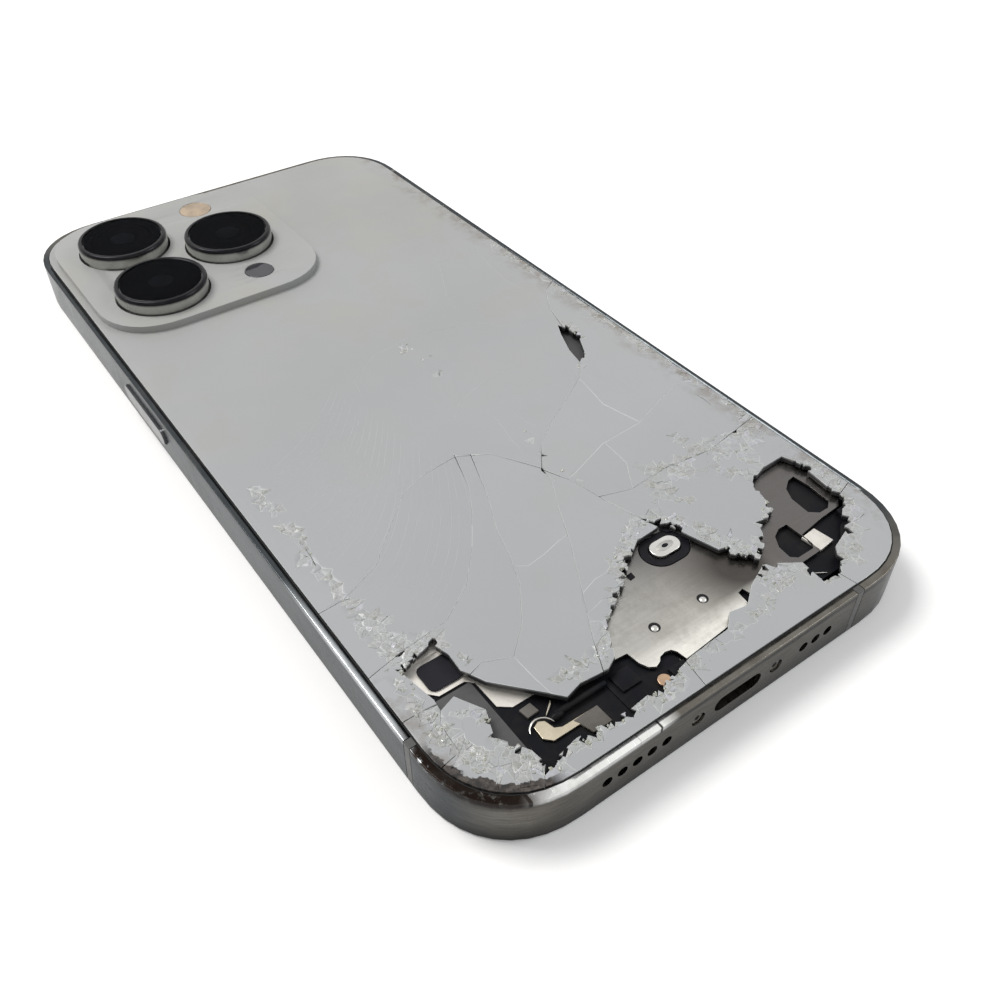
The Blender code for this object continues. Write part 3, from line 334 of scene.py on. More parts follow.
def hard_finish(name, colour, metallic, roughness, dirt=0.25, scratches=0.4, vary=0.12, bump=0.1, sheen=0.5):
    """A hard surface in one colour, with blotches, dirt and fine scratches. sheen is its mirror share."""
    material, tree, shader = new_material(name)
    set_shader(tree, shader, Specular_IOR_Level=sheen)
    cloudy = blotches(tree, 0.35, 0.65, 110.0, 4.0)
    darker, lighter = (tuple(min(c * way, 1.0) for c in colour) for way in (1 - vary, 1 + vary))
    tone = blend(tree, cloudy, darker, lighter)
    add_grime(tree, shader, tone, roughness, metallic, dirt, scratches, bump=bump)
    return material


def make_band_steel():
    """Polished steel with painted shade on its sides, a painted warm reflection on its ends and a painted
    highlight along one edge, scuffed black round the near corner.
    """
    material, tree, shader = new_material("polished_band_steel")
    along = node(tree, "ShaderNodeSeparateXYZ", {0: place_of(tree)}).outputs["Y"]
    # Painted reflection: the ends paler and warmer than the sides
    end = between(tree, sums(tree, "ABSOLUTE", along, 0.0), *END_REFLECTION_START)
    drawn = blotches(tree, 0.3, 0.7, 260.0, 4.0, squeeze=(1.0, 1.0, 14.0))
    tone = blend(tree, end, SIDE_STEEL_SHADE, END_STEEL_REFLECTION)
    tone = blend(tree, times(tree, drawn, between(tree, end, 0.0, 1.0, 0.06, 0.26)), tone, DRAWN_STEEL)
    for limits, colour, strength in BAND_MARKS.values():
        tone = blend(tree, zone(tree, limits), tone, colour, strength)
    # A painted highlight along the charging end's top edge, broken by black nicks
    ticks = blotches(tree, 0.63, 0.66, 700.0, 1.0, squeeze=(1.0, 0.02, 0.02))
    tone = blend(tree, zone(tree, STRUCK_EDGE_HIGHLIGHT), tone, blend(tree, ticks, HIGHLIGHT_CHROME, TICK_BLACK), 0.9)
    near = between(tree, distance_from(tree, SCUFF_MIDDLE), *SCUFF_REACH)
    patchy = blotches(tree, 0.30, 0.44, 900.0, 5.0, 0.7)
    tone = blend(tree, times(tree, near, zone(tree, SCUFF_TOP), patchy), tone, SCUFF_BLACK)
    add_grime(tree, shader, tone, roughness=0.17, metallic=1.0, dirt=0.25, scratches=0.6, bump=0.25)
    set_shader(tree, shader, Specular_Tint=STEEL_TINT)
    return material


BODY_OF = {
    name: body for body, members in frame["record"]["behaviour"]["bodies"].items() for name in members
}
SLOT_OF = {part["node"]: part["material_slot"] for part in frame["record"]["subparts"]}


def merged_copy(node_name):
    """A bmesh of a node's solid with its loose triangles joined up."""
    shape = bmesh.new()
    shape.from_mesh(frame["nodes"][node_name].data)
    bmesh.ops.remove_doubles(shape, verts=shape.verts, dist=MERGE_GAP)
    shape.normal_update()
    return shape


def new_piece(name, shape, material, body="phone", smooth=35.0):
    """Makes a bmesh into a piece, shaded smooth up to an angle, which rides on its body."""
    data = bpy.data.meshes.new(name)
    shape.to_mesh(data)
    shape.free()
    data.shade_smooth()
    data.set_sharp_from_angle(angle=math.radians(smooth))
    data.materials.append(material)
    piece = add_object(name, data)
    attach(piece, body)
    return piece


def stand_in(shape, material, node_name, smooth=35.0):
    """Makes a bmesh the piece that stands for a node."""
    piece = new_piece("fine_" + node_name, shape, material, BODY_OF[node_name], smooth)
    piece.modifiers.new("even_shading", "WEIGHTED_NORMAL").keep_sharp = True
    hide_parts(node_name)
    return piece


def round_edges(shape, edges, width, segments):
    bmesh.ops.bevel(
        shape, geom=edges, offset=width, offset_type="OFFSET", segments=segments, profile=0.5,
        affect="EDGES", clamp_overlap=True, material=-1,
    )


def refine(node_name, material, bevel=0.0, segments=2, smooth=35.0):
    """The node's solid with its flat faces joined, its sharp edges rounded and its curves smooth."""
    shape = merged_copy(node_name)
    bmesh.ops.dissolve_limit(shape, angle_limit=math.radians(0.5), verts=shape.verts, edges=shape.edges)
    if bevel:
        sharp = [e for e in shape.edges if len(e.link_faces) == 2 and e.calc_face_angle() > SHARP_ANGLE]
        round_edges(shape, sharp, bevel, segments)
    return stand_in(shape, material, node_name, smooth)


BAND_STEEL = make_band_steel()
refine("frame_band", BAND_STEEL, smooth=40.0)
CONTROL_STEEL = hard_finish("polished_control_steel", (0.15, 0.155, 0.16), 1.0, 0.2)
for control in ("power_button", "volume_up_button", "volume_down_button", "ring_switch"):
    refine(control, CONTROL_STEEL, 0.08 * MM, 2)
refine("card_tray", CONTROL_STEEL, 0.06 * MM, 1)
STRIP_PLASTIC = hard_finish("grey_strip_plastic", (0.085, 0.086, 0.084), 0.0, 0.4, 0.2, 0.3, sheen=0.3)
for strip in ("left", "right", "charging_end", "camera_end"):
    refine("antenna_strip_" + strip, STRIP_PLASTIC)

# The sealing bead
# A bead of black adhesive fills the joint between the band's rim and the back glass, which it holds. It
# follows the band's outline.
BEAD_BLACK = hard_finish(
    "black_adhesive", (0.012, 0.012, 0.013), 0.0, 0.5, dirt=0.4, scratches=0.1, vary=0.2, bump=0.3, sheen=0.2
)
BEAD_OUTER = 0.97 * MM
BEAD_INNER = 1.12 * MM
BEAD_LOW = 6.80 * MM
BEAD_HIGH = 7.60 * MM
BODY_CORNER = 13.0 * MM
CORNER_POWER = 2 / 2.25
CORNER_STEPS = 12


def band_loop(shape, inset):
    """A closed line of edges that follows the band's outline, moved in by the inset."""
    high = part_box("frame_band")[1]
    radius = BODY_CORNER - inset
    straight_x, straight_y = high.x - inset - radius, high.y - inset - radius
    corners = []
    for sign_x, sign_y in ((1, 1), (-1, 1), (-1, -1), (1, -1)):
        arc = []
        for step in range(CORNER_STEPS + 1):
            turn = math.pi / 2 * step / CORNER_STEPS
            x = sign_x * (straight_x + radius * max(math.cos(turn), 0.0) ** CORNER_POWER)
            y = sign_y * (straight_y + radius * max(math.sin(turn), 0.0) ** CORNER_POWER)
            arc.append(shape.verts.new((x, y, BEAD_LOW)))
        corners += arc if sign_x == sign_y else arc[::-1]
    return [shape.edges.new(pair) for pair in zip(corners, corners[1:] + corners[:1])]


def set_height(extruded, height):
    """Moves the new corners of an extrusion to a height."""
    for item in extruded["geom"]:
        if isinstance(item, bmesh.types.BMVert):
            item.co.z = height


def trim(name, shape, material, slot, smooth=35.0):
    """Makes a bmesh a piece that stands for no node. Its slot is not used."""
    new_piece(name, shape, material, smooth=smooth)


def make_sealing_bead():
    shape = bmesh.new()
    loops = band_loop(shape, BEAD_OUTER) + band_loop(shape, BEAD_INNER)
    ring = bmesh.ops.bridge_loops(shape, edges=loops)["faces"]
    set_height(bmesh.ops.extrude_face_region(shape, geom=ring), BEAD_HIGH)
    bmesh.ops.recalc_face_normals(shape, faces=shape.faces)
    trim("sealing_bead", shape, BEAD_BLACK, "black_plastic")


make_sealing_bead()

# The screen side
# Flat black glass, whole, over the display panel. It carries fine scratches and finger marks.


def dress(material, *node_names):
    """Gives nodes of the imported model, whose shape is right as it is, a better material."""
    for node_name in node_names:
        for slot in frame["nodes"][node_name].material_slots:
            slot.material = material


SCREEN_GLASS = hard_finish(
    "black_screen_glass", (0.006, 0.006, 0.008), 0.0, 0.06, dirt=0.12, scratches=0.7, vary=0.1, bump=0.03
)
PANEL_BLACK = hard_finish("black_panel", (0.012, 0.012, 0.013), 0.0, 0.5, 0.2)
refine("front_glass", SCREEN_GLASS, 0.0, 2, 50.0)
dress(PANEL_BLACK, "display_panel")

# The cameras
# Three satin steel rings stand on the glass. Each holds a flat smoked cover glass over black baffles and
# a curved lens with a coating. A flash and a sensor sit beside them.
BAFFLE_BLACK = hard_finish("baffle_black", (0.006, 0.006, 0.007), 0.0, 0.4, 0.1, sheen=0.08)
LENS_COATING = hard_finish("coated_lens", (0.020, 0.020, 0.026), 0.0, 0.05, 0.05, 0.1)
SMOKED = (0.18, 0.19, 0.21)
DUST = (0.4, 0.4, 0.4)
RING_SATIN = (0.42, 0.42, 0.40)
RING_BLACK = (0.012, 0.012, 0.014)
POLE_GAP = 1e-7
WINDOW_STEPS = 96
LENS_STEPS = 64
# Each baffle: its share of the window's radius, and how many fifths of its depth it lies below the top
BAFFLES = (
    (0.98, 5.0), (0.98, 1.2), (0.80, 1.3), (0.78, 2.0), (0.66, 2.1),
    (0.64, 2.8), (0.52, 2.9), (0.50, 3.4), (0.40, 3.5), (0.0, 3.5),
)
# The curved lens: its share of the radius, and its foot, its edge and its rise in fifths of the depth
CURVED_SHARE = 0.36
CURVED_FOOT, CURVED_EDGE, CURVED_RISE = 0.3, 0.5, 1.9


def turned(profile, centre, steps):
    """A closed shape turned from (radius, height) points that start and end on the upright."""
    shape = bmesh.new()
    corners = [shape.verts.new((radius, 0.0, height)) for radius, height in profile]
    edges = [shape.edges.new(pair) for pair in zip(corners, corners[1:])]
    bmesh.ops.spin(
        shape, geom=corners + edges, cent=(0, 0, 0), axis=(0, 0, 1), dvec=(0, 0, 0),
        angle=math.tau, steps=steps, use_merge=True,
    )
    bmesh.ops.remove_doubles(shape, verts=shape.verts, dist=POLE_GAP)
    bmesh.ops.recalc_face_normals(shape, faces=shape.faces)
    bmesh.ops.translate(shape, verts=shape.verts, vec=(*centre, 0.0))
    return shape


def disc(radii, heights, centre, steps):
    """A flat round piece, from the radius and the height of its two faces."""
    return turned(((0.0, heights[0]), *zip(radii, heights), (0.0, heights[1])), centre, steps)


def make_cover_glass():
    """Smoked clear glass with a coating that takes away most reflections, and dust on it."""
    material, tree, shader = new_material("smoked_cover_glass")
    dust = between(tree, noise(tree, 1800.0, 4.0, 0.7), 0.60, 0.74, 0.0, 0.15)
    tone = blend(tree, dust, SMOKED, DUST)
    rough = between(tree, dust, 0.0, 0.15, 0.015, 0.2)
    set_shader(tree, shader, Base_Color=tone, Roughness=rough, Transmission_Weight=0.985, IOR=1.03)
    return material


def make_ring_steel():
    """Satin steel sides under a black rim."""
    material, tree, shader = new_material("lens_ring_steel")
    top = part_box("lens_ring_side")[1].z / MM
    tone = blend(tree, zone(tree, (("Z", top - 0.9, top - 0.5),)), RING_SATIN, RING_BLACK)
    add_grime(tree, shader, tone, roughness=0.22, metallic=1.0, dirt=0.15, scratches=0.3)
    return material


RING_STEEL = make_ring_steel()
COVER_GLASS = make_cover_glass()


def make_camera_fronts():
    for name in ("upper", "lower", "side"):
        refine(f"lens_ring_{name}", RING_STEEL, 0.0, 1, 40.0)
        low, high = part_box(f"lens_window_{name}")
        centre = ((low.x + high.x) / 2, (low.y + high.y) / 2)
        radius = (high.x - low.x) / 2
        top, base = high.z, low.z
        step = (top - base) / 5
        profile = [(0.0, base)] + [(radius * share, top - down * step) for share, down in BAFFLES]
        stand_in(turned(profile, centre, WINDOW_STEPS), BAFFLE_BLACK, f"lens_window_{name}", 20.0)
        curved_radius, rise = radius * CURVED_SHARE, CURVED_RISE * step
        foot, edge = base + CURVED_FOOT * step, base + CURVED_EDGE * step
        ways = (0.0, 0.3, 0.6, 0.9, 1.2)
        dome = [(curved_radius * math.cos(a), edge + rise * math.sin(a)) for a in ways]
        lens = turned([(0.0, foot), (curved_radius, foot), *dome, (0.0, edge + rise)], centre, LENS_STEPS)
        trim(f"curved_lens_{name}", lens, LENS_COATING, "dark_glass", 50.0)
        cover = disc((radius, radius), (top, top - step), centre, WINDOW_STEPS)
        trim(f"cover_glass_{name}", cover, COVER_GLASS, "dark_glass")
        dress(BAFFLE_BLACK, f"camera_module_{name}")


make_camera_fronts()
FLASH_GLASS = hard_finish("flash_amber", (0.46, 0.35, 0.24), 0.0, 0.25, dirt=0.4, scratches=0.2, vary=0.25)
SENSOR_GLASS = hard_finish("sensor_black_glass", (0.03, 0.03, 0.036), 0.0, 0.08, 0.2)
refine("flash_lens", FLASH_GLASS, 0.08 * MM)
refine("depth_sensor_window", SENSOR_GLASS, 0.08 * MM)

# Inside the body
# The battery in its black wrap, the board under its steel cans, and the coil and magnets on their sheet.
BATTERY_WRAP = hard_finish("battery_wrap", (0.02, 0.02, 0.02), 0.0, 0.35)
BOARD_MASK = hard_finish("board_solder_mask", (0.02, 0.08, 0.05), 0.0, 0.4)
CAN_STEEL = hard_finish("shield_can_steel", (0.42, 0.41, 0.39), 1.0, 0.35)
GRAPHITE = hard_finish("graphite_film", (0.055, 0.054, 0.056), 0.0, 0.5, 0.3, 0.5)
COIL_COPPER = hard_finish("wound_copper", (0.62, 0.30, 0.16), 1.0, 0.35)
dress(BATTERY_WRAP, "battery")
dress(BOARD_MASK, "logic_board")
dress(CAN_STEEL, "chassis_plate", "upper_shield_can", "lower_shield_can", "magnet_ring")
dress(GRAPHITE, "graphite_sheet")
dress(COIL_COPPER, "charging_coil")

# The charging end's modules
# Moulded black boxes fill both corners: the loudspeaker at the left and the vibration motor at the right.
# The charging mouth's drawn steel shell and two dull screws are seen through the band.
MODULE_BLACK = hard_finish("moulded_black", (0.008, 0.0085, 0.011), 0.0, 0.34, 0.3, 0.5, sheen=0.07)
PORT_STEEL = hard_finish("port_steel", (0.10, 0.10, 0.10), 1.0, 0.35)
SCREW_STEEL = hard_finish("dull_screw_steel", (0.20, 0.19, 0.18), 1.0, 0.4)
for box in ("loudspeaker", "haptic_engine", "earpiece_speaker"):
    refine(box, MODULE_BLACK, 0.12 * MM)
refine("charging_port", PORT_STEEL)
for screw in ("bottom_screw_left", "bottom_screw_right"):
    refine(screw, SCREW_STEEL)
MESH_GREY = hard_finish("microphone_mesh_grey", (0.17, 0.165, 0.155), 0.6, 0.45)
refine("microphone_mesh", MESH_GREY)

# The steel sheet and its grounding post
# A thin pressed sheet, bonded under the glass. A black oval bush in it holds a bright steel post.
# Painted light on one sheet: paler reflections low and at the left, shade at the right, a cream highlight
SHEET_GREY = (0.17, 0.165, 0.16)
SHEET_REFLECTION_PALE = (0.52, 0.50, 0.46)
SHEET_REFLECTION_LEFT = (0.50, 0.49, 0.46)
SHEET_SHADE = (0.035, 0.030, 0.027)
SHEET_HIGHLIGHT_CREAM = (0.92, 0.90, 0.83)
# The bracket's brown is a painted reflection on the same sheet
BRACKET_REFLECTION_BROWN = (0.150, 0.142, 0.138)
BRUSH_MARK = (0.10, 0.095, 0.09)
SHEET_DIRT = (0.06, 0.05, 0.04)
PALE_REFLECTION_ZONE = (("Y", -53.0, -64.0),)
LEFT_REFLECTION_ZONE = (("X", 3.0, -6.0),)
HIGHLIGHT_CREAM_ZONE = (("Y", -64.0, -66.8),)
BRACKET_ZONE = (("X", 15.0, 17.5),)
SHADE_MIDDLE = (0.0125, -0.0610, 0.0067)
SHADE_REACH = (0.0105, 0.0030)


def make_plate_steel():
    """Brushed sheet steel with painted reflections, paler low and at the left, a painted cream highlight at
    its free edge, painted shade towards the right and a painted brown reflection over the bracket.
    """
    material, tree, shader = new_material("pressed_sheet_steel")
    # Painted reflections, shade and a cream highlight over the sheet's grey; the brush marks and dirt are
    # its own
    tone = blend(tree, zone(tree, PALE_REFLECTION_ZONE), SHEET_GREY, SHEET_REFLECTION_PALE)
    tone = blend(tree, zone(tree, LEFT_REFLECTION_ZONE), tone, SHEET_REFLECTION_LEFT, 0.6)
    shade = between(tree, distance_from(tree, SHADE_MIDDLE), *SHADE_REACH)
    tone = blend(tree, shade, tone, SHEET_SHADE, 0.9)
    tone = blend(tree, zone(tree, HIGHLIGHT_CREAM_ZONE), tone, SHEET_HIGHLIGHT_CREAM)
    tone = blend(tree, zone(tree, BRACKET_ZONE), tone, BRACKET_REFLECTION_BROWN)
    brushed = blotches(tree, 0.3, 0.7, 2400.0, squeeze=(0.05, 1.0, 1.0), turn=0.12)
    tone = blend(tree, brushed, tone, BRUSH_MARK, 0.12)
    add_grime(tree, shader, tone, 0.24, 1.0, 0.3, 0.5, stain=SHEET_DIRT, bump=0.2)
    return material


PLATE_STEEL = make_plate_steel()
refine("steel_back_plate", PLATE_STEEL, 0.06 * MM)
POST_STEEL = hard_finish("bright_post_steel", (0.62, 0.61, 0.58), 1.0, 0.2, 0.15)
refine("grounding_post", POST_STEEL, 0.15 * MM, 3)
BUSH_BLACK = hard_finish("bush_black", (0.007, 0.007, 0.010), 0.0, 0.3, 0.15, sheen=0.12)
refine("oval_bush", BUSH_BLACK, 0.12 * MM, 3)

# The loudspeaker's trim
# Stuck on the speaker box: a bright foil label with a black pad, dark film, a pale gold contact, the
# mouth of the sound tube and a copper dot.
FOIL = hard_finish(
    "bright_foil", (0.72, 0.69, 0.64), 0.35, 0.35, dirt=0.15, scratches=0.3, vary=0.05, bump=0.4
)
PAD_BLACK = hard_finish("pad_black", (0.014, 0.014, 0.019), 0.0, 0.45, 0.15, sheen=0.1)
GOLD = hard_finish("pale_gold", (0.62, 0.55, 0.42), 0.9, 0.3, 0.2)
COPPER = hard_finish("bare_copper", (0.55, 0.38, 0.25), 1.0, 0.3)
refine("foil_label", FOIL)
refine("foil_pad", PAD_BLACK, 0.05 * MM)
refine("graphite_film", GRAPHITE)
refine("speaker_contact", GOLD, 0.06 * MM)
refine("acoustic_tube", MODULE_BLACK, 0.05 * MM)
refine("copper_dot", COPPER, 0.1 * MM)

# Small parts under the broken glass
# On the loudspeaker lie a collar for its sound tube, a spring wire, a cream tape, a grey pad and ribs. Black
# dots mark the mesh. At the right lie a crinkled contact and a stepped cover, and hooks hold the bush.
GREY_PAD = hard_finish("grey_rubber_pad", (0.11, 0.10, 0.09), 0.0, 0.6)
CREAM_TAPE = hard_finish("cream_tape", (0.60, 0.55, 0.46), 0.0, 0.5)
MESH_HOLES = 6
DIMPLES = ((-3.1, -62.55), (4.7, -62.65))
DIMPLE_STEPS = 32
# The black ring round each dimple's dome, which sits off to one side, is painted shade
SHADE_RING_RADII = (0.75 * MM, 0.70 * MM)
SHADE_RING_RISE = 0.03 * MM
BALL_RADIUS, BALL_RISE = 0.5 * MM, 0.2 * MM
BALL_SHIFT = (0.1 * MM, 0.15 * MM)
HOLE_RADII = (0.3 * MM, 0.3 * MM)
HOLE_RISE = 0.05 * MM
HOLE_STEPS = 24
OVAL_STEPS = 24
OVAL_SINK, OVAL_BEVEL = 0.1, 0.02
# Each sheet: its material and slot, its underside and top in millimetres, and its outline in plan
SMALL_SHEETS = {
    "cream_tape": (CREAM_TAPE, "bright_foil", 6.12, 6.45, (
        (-21.1, -64.7), (-20.7, -64.3), (-19.3, -63.2), (-19.6, -63.7))),
    "grey_pad": (GREY_PAD, "graphite", 6.12, 6.5, (
        (-23.0, -62.3), (-21.4, -62.2), (-21.2, -63.6), (-22.8, -63.7))),
    "speaker_rib": (MODULE_BLACK, "black_plastic", 6.1, 6.3, (
        (-12.9, -64.6), (-12.5, -64.6), (-12.5, -69.8), (-12.9, -69.8))),
    "speaker_step": (MODULE_BLACK, "black_plastic", 6.1, 6.42, (
        (-12.0, -64.6), (-9.2, -64.6), (-9.2, -67.2), (-12.0, -67.2))),
    "speaker_foot": (MODULE_BLACK, "black_plastic", 6.1, 6.5, (
        (-5.8, -67.8), (-3.4, -67.8), (-3.4, -69.9), (-5.8, -69.9))),
    "crinkled_contact": (FOIL, "bright_foil", 6.2, 6.62, (
        (22.6, -62.6), (25.2, -62.4), (25.6, -65.3), (22.9, -65.6))),
    "stepped_cover": (MODULE_BLACK, "black_plastic", 6.12, 6.9, (
        (31.8, -61.9), (30.0, -62.0), (29.8, -63.6), (28.0, -64.3),
        (27.0, -65.2), (25.8, -66.2), (25.9, -67.6), (31.8, -67.4))),
    "bush_hook_upper": (BUSH_BLACK, "black_plastic", 6.76, 7.0, (
        (8.4, -50.8), (9.5, -51.0), (9.4, -52.0), (8.9, -51.9))),
    "bush_hook_lower": (BUSH_BLACK, "black_plastic", 6.76, 7.0, (
        (8.9, -52.3), (9.6, -52.2), (9.5, -53.2), (9.0, -53.1))),
    "contact_end": (GREY_PAD, "graphite", 6.45, 6.54, (
        (-19.0, -66.9), (-15.6, -66.85), (-15.5, -69.35), (-18.1, -69.35), (-18.6, -67.65))),
    "foil_corner": (FOIL, "bright_foil", 6.33, 6.42, (
        (-29.6, -50.1), (-24.0, -50.1), (-24.0, -47.6), (-29.6, -47.6))),
    "plate_notch": (BUSH_BLACK, "black_plastic", 6.76, 6.86, (
        (-0.5, -54.4), (0.5, -54.3), (0.4, -55.2), (-0.4, -55.3))),
}
# Each oval on the grounding post: its half length and width, its rise over the post and its material
POST_OVALS = {
    "post_socket": (1.35, 0.7, 0.03, CAN_STEEL),
    "post_slot": (0.5, 0.3, 0.06, BUSH_BLACK),
}
# Each rod: its material and slot, its radius in millimetres, its roundness and its line of points
SMALL_RODS = {
    "spring_wire": (POST_STEEL, "sheet_steel", 0.11, 2, [
        (-22.4 + 1.6 * math.cos(a / 10), -66.2 + 1.7 * math.sin(a / 10), 6.75) for a in range(2, 30, 2)]),
    "tube_collar": (MODULE_BLACK, "black_plastic", 0.45, 4, [
        (-21.0 + 0.45 * n, -65.4, 6.62) for n in range(5)]),
    # A bright steel rod laid in the recess as a painted glint
    "recess_glint": (POST_STEEL, "sheet_steel", 0.09, 2, [
        (19.2 + 0.4 * n, -67.5 - 0.25 * n, 6.25) for n in range(5)]),
}


def rods(lines, radius, roundness):
    """A closed round rod along each line of points, in millimetres, that thins out towards its ends."""
    curve = bpy.data.curves.new("rods", "CURVE")
    curve.dimensions = "3D"
    curve.bevel_depth = radius * MM
    curve.bevel_resolution = roundness
    curve.use_fill_caps = True
    for line in lines:
        spline = curve.splines.new("POLY")
        spline.points.add(len(line) - 1)
        for number, (x, y, z) in enumerate(line):
            spline.points[number].co = (x * MM, y * MM, z * MM, 1.0)
            way = number / (len(line) - 1)
            spline.points[number].radius = min(1.0, 0.3 + 1.4 * math.sin(math.pi * way))
    guide = add_object("rods", curve)
    graph = bpy.context.evaluated_depsgraph_get()
    tubes = bpy.data.meshes.new_from_object(guide.evaluated_get(graph))
    shape = bmesh.new()
    shape.from_mesh(tubes)
    bmesh.ops.remove_doubles(shape, verts=shape.verts, dist=POLE_GAP)
    bmesh.ops.recalc_face_normals(shape, faces=shape.faces)
    bpy.data.objects.remove(guide)
    bpy.data.meshes.remove(tubes)
    return shape


def sheet(outline, low, high, bevel=0.05):
    """A flat closed piece with the given outline in plan, in millimetres, with its edges rounded."""
    shape = bmesh.new()
    face = shape.faces.new([shape.verts.new((x * MM, y * MM, low * MM)) for x, y in outline])
    set_height(bmesh.ops.extrude_face_region(shape, geom=[face]), high * MM)
    bmesh.ops.recalc_face_normals(shape, faces=shape.faces)
    round_edges(shape, shape.edges[:], bevel * MM, 2)
    return shape


def make_small_parts():
    for name, (material, slot, low, high, outline) in SMALL_SHEETS.items():
        trim(name, sheet(outline, low, high), material, slot)
    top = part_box("steel_back_plate")[1].z
    for number, (x, y) in enumerate(DIMPLES, 1):
        # A black ring of painted shade under each bright dome
        shade_ring = disc(SHADE_RING_RADII, (top, top + SHADE_RING_RISE), (x * MM, y * MM), DIMPLE_STEPS)
        trim(f"dimple_shade_{number}", shade_ring, BUSH_BLACK, "black_plastic")
        dome = [(BALL_RADIUS * math.cos(a), top + BALL_RISE * math.sin(a)) for a in (0.0, 0.4, 0.8, 1.2)]
        ball = [(0.0, top), *dome, (0.0, top + BALL_RISE)]
        dimple = turned(ball, (x * MM - BALL_SHIFT[0], y * MM - BALL_SHIFT[1]), DIMPLE_STEPS)
        trim(f"dimple_ball_{number}", dimple, POST_STEEL, "sheet_steel")
    low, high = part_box("grounding_post")
    middle, top = (low + high) / 2 / MM, high.z / MM
    ways = [math.tau * step / OVAL_STEPS for step in range(OVAL_STEPS)]
    for name, (long, wide, rise, material) in POST_OVALS.items():
        oval = [(middle.x + long * math.cos(a), middle.y + wide * math.sin(a)) for a in ways]
        trim(name, sheet(oval, top - OVAL_SINK, top + rise, OVAL_BEVEL), material, "sheet_steel")
    for name, (material, slot, radius, roundness, line) in SMALL_RODS.items():
        trim(name, rods([line], radius, roundness), material, slot)
    low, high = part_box("microphone_mesh")
    for number in range(MESH_HOLES):
        x = low.x + (high.x - low.x) * (number + 0.5) / MESH_HOLES
        dot = disc(HOLE_RADII, (high.z, high.z + HOLE_RISE), (x, (low.y + high.y) / 2), HOLE_STEPS)
        trim(f"mesh_hole_{number + 1}", dot, BUSH_BLACK, "black_plastic")


make_small_parts()

# The back glass
# One sheet of silver-backed glass with the camera plateau in it, bonded to the band. Long cracks part it
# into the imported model's shards, finer ones run between them, and its broken edges are crushed white.
GLASS_LOW, GLASS_TOP = (corner.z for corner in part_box("glass_shard_long"))
TOP_GAP = 0.02 * MM
FLAT = 0.99
CRACK_CLOSING = 0.108
FINE_CRACK = 0.05 * MM
CRACK_DEPTH = 0.04 * MM
PLATEAU_MARGIN = 0.7 * MM
CLEAR = 0.1 * MM
NET_GAP = 1e-4
FLAT_TRIANGLE = 1e-6
FRAGMENT_REACH = 1.9
SMALL_FRAGMENT = 4.0
# A fragment is whiter the further its width is under the first of these, in millimetres
WHITE_UNDER, WHITE_FADE = 2.6, 2.0
LEAST_WHITE = 0.2
# The tilt in degrees of a fragment 1 mm wide, the most that any has, and the spread of their lifts
TILT, MOST_TILT = 3.5, 5.0
LIFT = 0.02 * MM
# A chip may fall from a hole's edge if it is under this area, in square millimetres, and so many do
CHIP_AREA = 0.8
CHIP_SHARE = 0.6
CHIP_PROBE = 0.35 * MM
HOLE_X, HOLE_Y = 33.6 * MM, 71.2 * MM
SEEDS = random.Random(71)
# Finer cracks that run from one break to another, in millimetres from the middle of the body
FINE_CRACKS = (
    ((-11.9, -45.2), (-9.8, -46.6), (-7.0, -46.2), (-4.0, -45.4), (-1.0, -45.0)),
    ((-8.0, -54.6), (-7.0, -54.0), (-4.5, -53.2), (-2.5, -53.2), (-2.2, -54.3), (-2.0, -56.2)),
    ((-9.6, -57.1), (-6.0, -56.3), (-3.5, -55.9), (-1.8, -55.6)),
    ((-10.2, -57.6), (-9.7, -57.9), (-8.3, -58.6), (-8.6, -60.0), (-8.7, -61.0)),
    ((-19.7, -56.3), (-19.6, -60.5), (-19.3, -64.0)),
    ((3.6, -37.0), (6.0, -36.5), (13.0, -34.0), (20.2, -33.5), (27.0, -31.0), (36.0, -29.0)),
    ((20.4, -19.0), (19.0, -27.0), (20.4, -33.0), (20.6, -34.6)),
    ((9.8, -44.2), (13.0, -39.0), (13.4, -33.2)),
)
